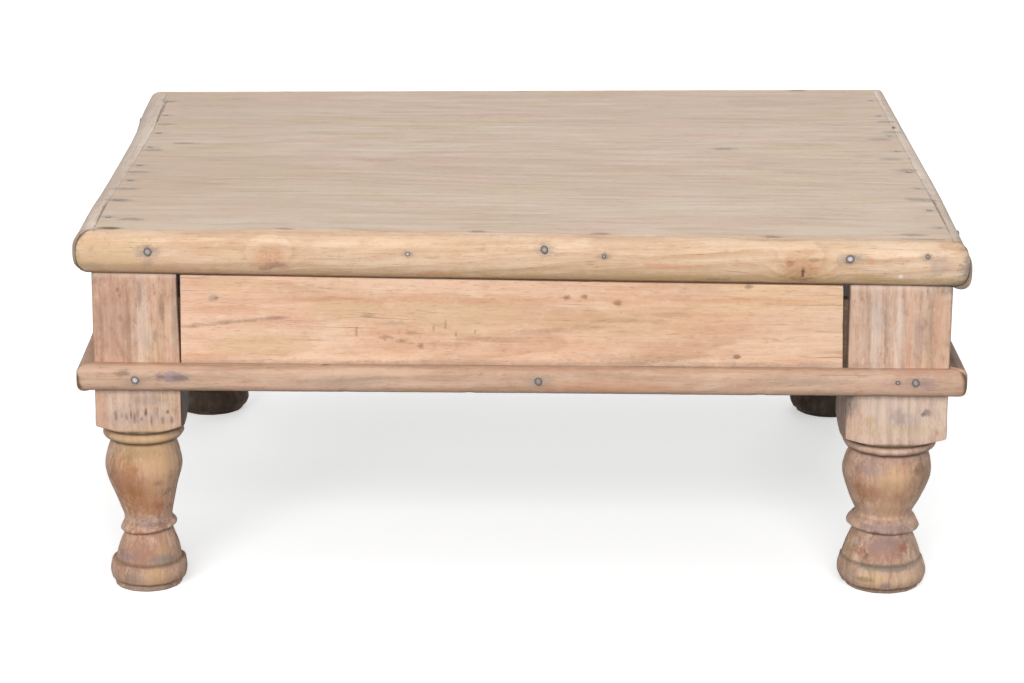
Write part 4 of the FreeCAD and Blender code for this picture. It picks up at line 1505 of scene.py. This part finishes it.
chip_bottom = 124 * mm
chip_top = 152 * mm
chip_width = 7.0 * mm
inner_lean = 1.3 * mm
lean_start = 160 * mm
lean_run = 68 * mm


def chip_corner(bm):
    """The inner front corner of the front right leg has lost a wedge under the moulding."""
    low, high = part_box("front_right_leg")
    for vertex in bm.verts:
        if not chip_bottom < vertex.co.z < chip_top:
            continue
        depth = chip_width * (vertex.co.z - chip_bottom) / (chip_top - chip_bottom)
        beyond = depth - (vertex.co.x - low.x) - (vertex.co.y - low.y)
        if beyond > 0:
            vertex.co.x += beyond / 2
            vertex.co.y += beyond / 2


def lean_inner_side(bm):
    """The inner side of the front left post leans outwards, towards its top."""
    low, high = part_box("front_left_leg")
    for vertex in bm.verts:
        upwards = eased((vertex.co.z - lean_start) / lean_run)
        inner = eased((vertex.co.x - low.x) / (high.x - low.x) * 2 - 1)
        vertex.co.x -= inner_lean * upwards * inner


print("grooves with dirt in them:", ", ".join(groove_darkening))

# %% [markdown]
# Now the four legs can be made. The front left one is slim, and the other three are stout. Their
# tops are cut to the lie of the planks, and their feet stay flat on the floor. The sides that
# look inwards are darkened with painted shade, those of the front legs only above the crease, and
# the rear legs get it on their fronts as well.

# %% Make the legs
leg_wear = dict(ripple=0.5 * mm, dent=1.0 * mm, chip=1.0 * mm)
block_painted_shade = {"front_left_leg": 1.0, "front_right_leg": 0.40}
rear_painted_shade = 0.9
painted_shade_rise = 4 * mm
moulding_line = 155 * mm
moulding_fade = 10 * mm


def make_leg(name, shares, radius, height, number, **finish):
    low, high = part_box(name)
    middle = (low + high) / 2
    half_width, half_depth = (high.x - low.x) / 2, (high.y - low.y) / 2
    reach = math.hypot(half_width, half_depth)
    half_side = min(half_width, half_depth)
    outline = leg_outline(shares, radius, height, half_side, reach, high.z)
    bm = spun(outline, leg_steps, leg_merging)
    press_to_square(bm, half_width, half_depth, height, reach, high.z)
    facet(bm, height)
    bmesh.ops.translate(bm, vec=(middle.x, middle.y, 0.0), verts=bm.verts)
    on_floor = [vertex for vertex in bm.verts if vertex.co.z < merging]
    start = height + shoulder_rise
    for vertex in bm.verts:
        if vertex.co.z > start:
            under = surface_height(vertex.co.x, vertex.co.y) - board_thickness
            vertex.co.z = start + (vertex.co.z - start) * (under - start) / (high.z - start)
    dirt_and_shade = groove_dirt_and_shade(bm, shares, height)
    out_of_true(name, bm, middle, shares["ring_middle"][1] * height)
    if name == "front_left_leg":
        lean_inner_side(bm)
    if name == "front_right_leg":
        chip_corner(bm)
    weather(bm, Z_AXIS, number, **leg_wear)
    for vertex in on_floor:
        vertex.co.z = 0.0
    inward_x = -math.copysign(1.0, middle.x)
    inward_y = -math.copysign(1.0, middle.y)
    at_front = middle.y < 0

    # Painted shade on the sides that look inwards, and on the fronts of the rear legs
    def painted_shade_at(vertex):
        towards_x = eased((inward_x * vertex.normal.x - 0.45) / 0.4)
        towards_y = eased((inward_y * vertex.normal.y - 0.25) / 0.5)
        if at_front:
            above = eased((vertex.co.z - height) / painted_shade_rise)
            over_moulding = eased((vertex.co.z - moulding_line) / moulding_fade)
            side_painted_shade = block_painted_shade[name] + (gap_painted_shade - block_painted_shade[name]) * over_moulding
            return above * max(side_painted_shade * towards_x, inner_painted_shade * towards_y)
        return max(rear_painted_shade * towards_x, towards_y)

    wood = old_wood(name + "_wood", Z_AXIS, patches=those_on(name), **finish)
    finish_piece(name + "_wood", bm, wood, name, {"painted_shade": painted_shade_at}, dirt_and_shade)


slim_tones = dict(pale=shade(218, 184, 160), warm=shade(204, 166, 140), line=shade(152, 112, 90),
                  dusty=shade(222, 200, 182), blush=shade(206, 158, 136), gold=shade(206, 174, 134))
stout_tones = dict(pale=shade(222, 192, 170), warm=shade(208, 172, 148), line=shade(156, 118, 98),
                   dusty=shade(226, 208, 194), blush=shade(210, 166, 146), gold=shade(208, 180, 146))
make_leg("front_left_leg", slim_shares, slim_radius, slim_height, 17, tones=slim_tones,
         heart=(-300 * mm, -250 * mm, 100 * mm), tilt=(0.03, 0.02, 0.0), ring_width=5 * mm,
         ring_share=0.28, streak_share=0.36, fibre_share=0.22, mottle_share=0.50, grit_share=0.6)
make_leg("front_right_leg", stout_shares, stout_radius, stout_height, 18, tones=stout_tones,
         heart=(310 * mm, -180 * mm, 100 * mm), tilt=(-0.02, 0.03, 0.0), ring_width=5 * mm,
         ring_share=0.32, streak_share=0.42, fibre_share=0.24, mottle_share=0.46, grit_share=0.5)
make_leg("rear_left_leg", stout_shares, stout_radius, stout_height, 19, tones=slim_tones,
         heart=(-310 * mm, 250 * mm, 100 * mm), tilt=(0.02, -0.03, 0.0), ring_width=5 * mm)
make_leg("rear_right_leg", stout_shares, stout_radius, stout_height, 20, tones=stout_tones,
         heart=(320 * mm, 180 * mm, 100 * mm), tilt=(0.03, 0.03, 0.0), ring_width=5 * mm)

# %% [markdown]
# Each nail was hammered out by hand: a domed head, a little off round and flattened by the blows,
# on a tapering shank. One is spun from its outline, bent out of true by noise that differs from
# place to place, and then turned to point the way that the CAD nail goes in.

# %% Nails
nail_steps = 28
head_share = 1.10
head_height_share = 0.5
shank_share = 0.42
head_shares = ((0.0, 0.0), (0.30, 0.02), (0.55, 0.12), (0.78, 0.32), (0.93, 0.62), (1.0, 0.92),
               (0.96, 1.15))
shank_start_share = 1.2
shank_shares = ((0.9, 0.6), (0.6, 0.9), (0.0, 1.0))
blow_size = 1.6 * mm
blow_depth = 0.12 * mm
blow_share = 0.10
blow_shift = 100
oval_share = 0.06
oval_turn = 50
usual_shine = 0.35
# How much rubbed iron and painted highlight each nail's crown shows
shines = {"front_moulding_nails": (1.0, 0.30, 0.40), "front_moulding_brads": (0.40,),
          "front_edging_brads": (1.0, 0.35, 0.30), "front_edging_nails": (0.45, 0.30, 0.95),
          "left_board_nails": (0.45,) * 8, "right_board_nails": (0.45,) * 8}


def spun_nail(length, radius):
    """A nail that points down from its crown at the origin."""
    height = head_height_share * radius
    shank = shank_share * radius
    points = [Vector((out * radius, 0.0, -down * height)) for out, down in head_shares]
    points.append(Vector((shank, 0.0, -shank_start_share * height)))
    points += [Vector((out * shank, 0.0, -down * length)) for out, down in shank_shares]
    return spun(points, nail_steps, merging)


def make_nails(node):
    together = bmesh.new()
    near_crown = []
    brightness = []
    for index, (crown, tip, radius) in enumerate(nails[node]):
        direction = (tip - crown).normalized()
        bm = spun_nail((tip - crown).length, radius * head_share)
        for vertex in bm.verts:
            near_crown.append(1 - min(1.0, vertex.co.xy.length / radius))
            brightness.append(shines[node][index] if node in shines else usual_shine)
            seen = vertex.co / blow_size + crown * blow_shift
            uneven = 1 - blow_share * abs(noise.noise(seen))
            angle = math.atan2(vertex.co.y, vertex.co.x)
            oval = 1 - oval_share * (1 + math.sin(2 * angle + oval_turn * crown.x))
            vertex.co.x *= uneven * oval
            vertex.co.y *= uneven * oval
            vertex.co.z -= blow_depth * abs(noise.noise(seen * 1.7))
        pointing = Vector((0, 0, -1)).rotation_difference(direction).to_matrix()
        bmesh.ops.rotate(bm, cent=(0, 0, 0), matrix=pointing, verts=bm.verts)
        bmesh.ops.translate(bm, vec=crown, verts=bm.verts)
        take_in(together, bm)
    together.verts.index_update()
    notes = {"crown": lambda vertex: near_crown[vertex.index],
             "shine": lambda vertex: brightness[vertex.index]}
    finish_piece(node + "_iron", together, iron, node, notes)


for node in nail_nodes:
    make_nails(node)

# %% [markdown]
# The photograph shows the table cut out on plain white. The floor is white where the camera, a
# reflection or a see-through surface looks at it, but it throws less light back up, so that the
# space under the table stays dark. The table's shadow still falls on it. The sky gives light from
# above only.

# %% Floor and world
floor_radius = 9.0
floor_segments = 96
dull_grey = (0.25, 0.25, 0.25, 1.0)
near_white = (0.95, 0.95, 0.95, 1.0)
white = (1.0, 1.0, 1.0, 1.0)
floor_glow = 0.50
ambient_strength = 0.31
horizon_rise = 0.35
floor_mesh = bmesh.new()
bmesh.ops.create_circle(floor_mesh, cap_ends=True, segments=floor_segments, radius=floor_radius)
floor_data = bpy.data.meshes.new("floor")
floor_mesh.to_mesh(floor_data)
floor_mesh.free()
floor = bpy.data.objects.new("floor", floor_data)
scene.collection.objects.link(floor)


def seen_directly(tree):
    path = add(tree, "LightPath")
    seen = calc(tree, "MAXIMUM", path.outputs["Is Camera Ray"], path.outputs["Is Glossy Ray"])
    return calc(tree, "MAXIMUM", seen, path.outputs["Is Transmission Ray"])


def floor_material():
    material, tree = bare_material("floor")
    dull = add(tree, "BsdfDiffuse", {"Color": dull_grey}).outputs[0]
    pale = add(tree, "BsdfDiffuse", {"Color": near_white}).outputs[0]
    glow = add(tree, "Emission", {"Color": white, "Strength": floor_glow}).outputs[0]
    bright = add(tree, "AddShader", {0: pale, 1: glow}).outputs[0]
    surface = add(tree, "MixShader", {0: seen_directly(tree), 1: dull, 2: bright}).outputs[0]
    add(tree, "OutputMaterial", {"Surface": surface})
    return material


floor_data.materials.append(floor_material())
world = bpy.data.worlds.new("studio")
world.use_nodes = True
sky_tree = world.node_tree
sky_tree.nodes.clear()
direction = add(sky_tree, "TexCoord").outputs["Generated"]
upward = add(sky_tree, "SeparateXYZ", {"Vector": direction}).outputs["Z"]
strength = soft_step(sky_tree, upward, 0.0, horizon_rise, 0.0, ambient_strength)
ambient = add(sky_tree, "Background", {"Color": white, "Strength": strength}).outputs[0]
backdrop = add(sky_tree, "Background", {"Color": white, "Strength": 1.0}).outputs[0]
sky = add(sky_tree, "MixShader", {0: seen_directly(sky_tree), 1: ambient, 2: backdrop}).outputs[0]
add(sky_tree, "OutputWorld", {"Surface": sky})
scene.world = world
scene.view_settings.view_transform = "Standard"
print("floor radius in metres:", floor_radius)

# %% [markdown]
# The light is that of a product photograph: one large soft light in front and a little above, one
# overhead, and a weak one behind, so that no side is lost. A large lamp gives soft shadows, and
# its power grows with the square of its distance.

# %% Lights
lit_point = Vector((0.0, 0.0, 0.2))


def soft_light(name, place, width, height, power):
    """A rectangular lamp that looks at the table."""
    lamp_data = bpy.data.lights.new(name, "AREA")
    lamp_data.shape = "RECTANGLE"
    lamp_data.size = width
    lamp_data.size_y = height
    lamp_data.energy = power
    lamp = bpy.data.objects.new(name, lamp_data)
    aim = lit_point - Vector(place)
    lamp.rotation_euler = aim.to_track_quat("-Z", "Y").to_euler()
    lamp.location = place
    scene.collection.objects.link(lamp)
    print(name, "at", place, "with", power, "W")


soft_light("front_light", (-0.3, -2.5, 1.25), width=2.6, height=1.2, power=71.0)
soft_light("overhead_light", (0.1, -0.3, 2.5), width=2.2, height=2.0, power=10.0)
soft_light("rear_light", (0.4, 2.6, 1.6), width=2.0, height=1.2, power=22.0)
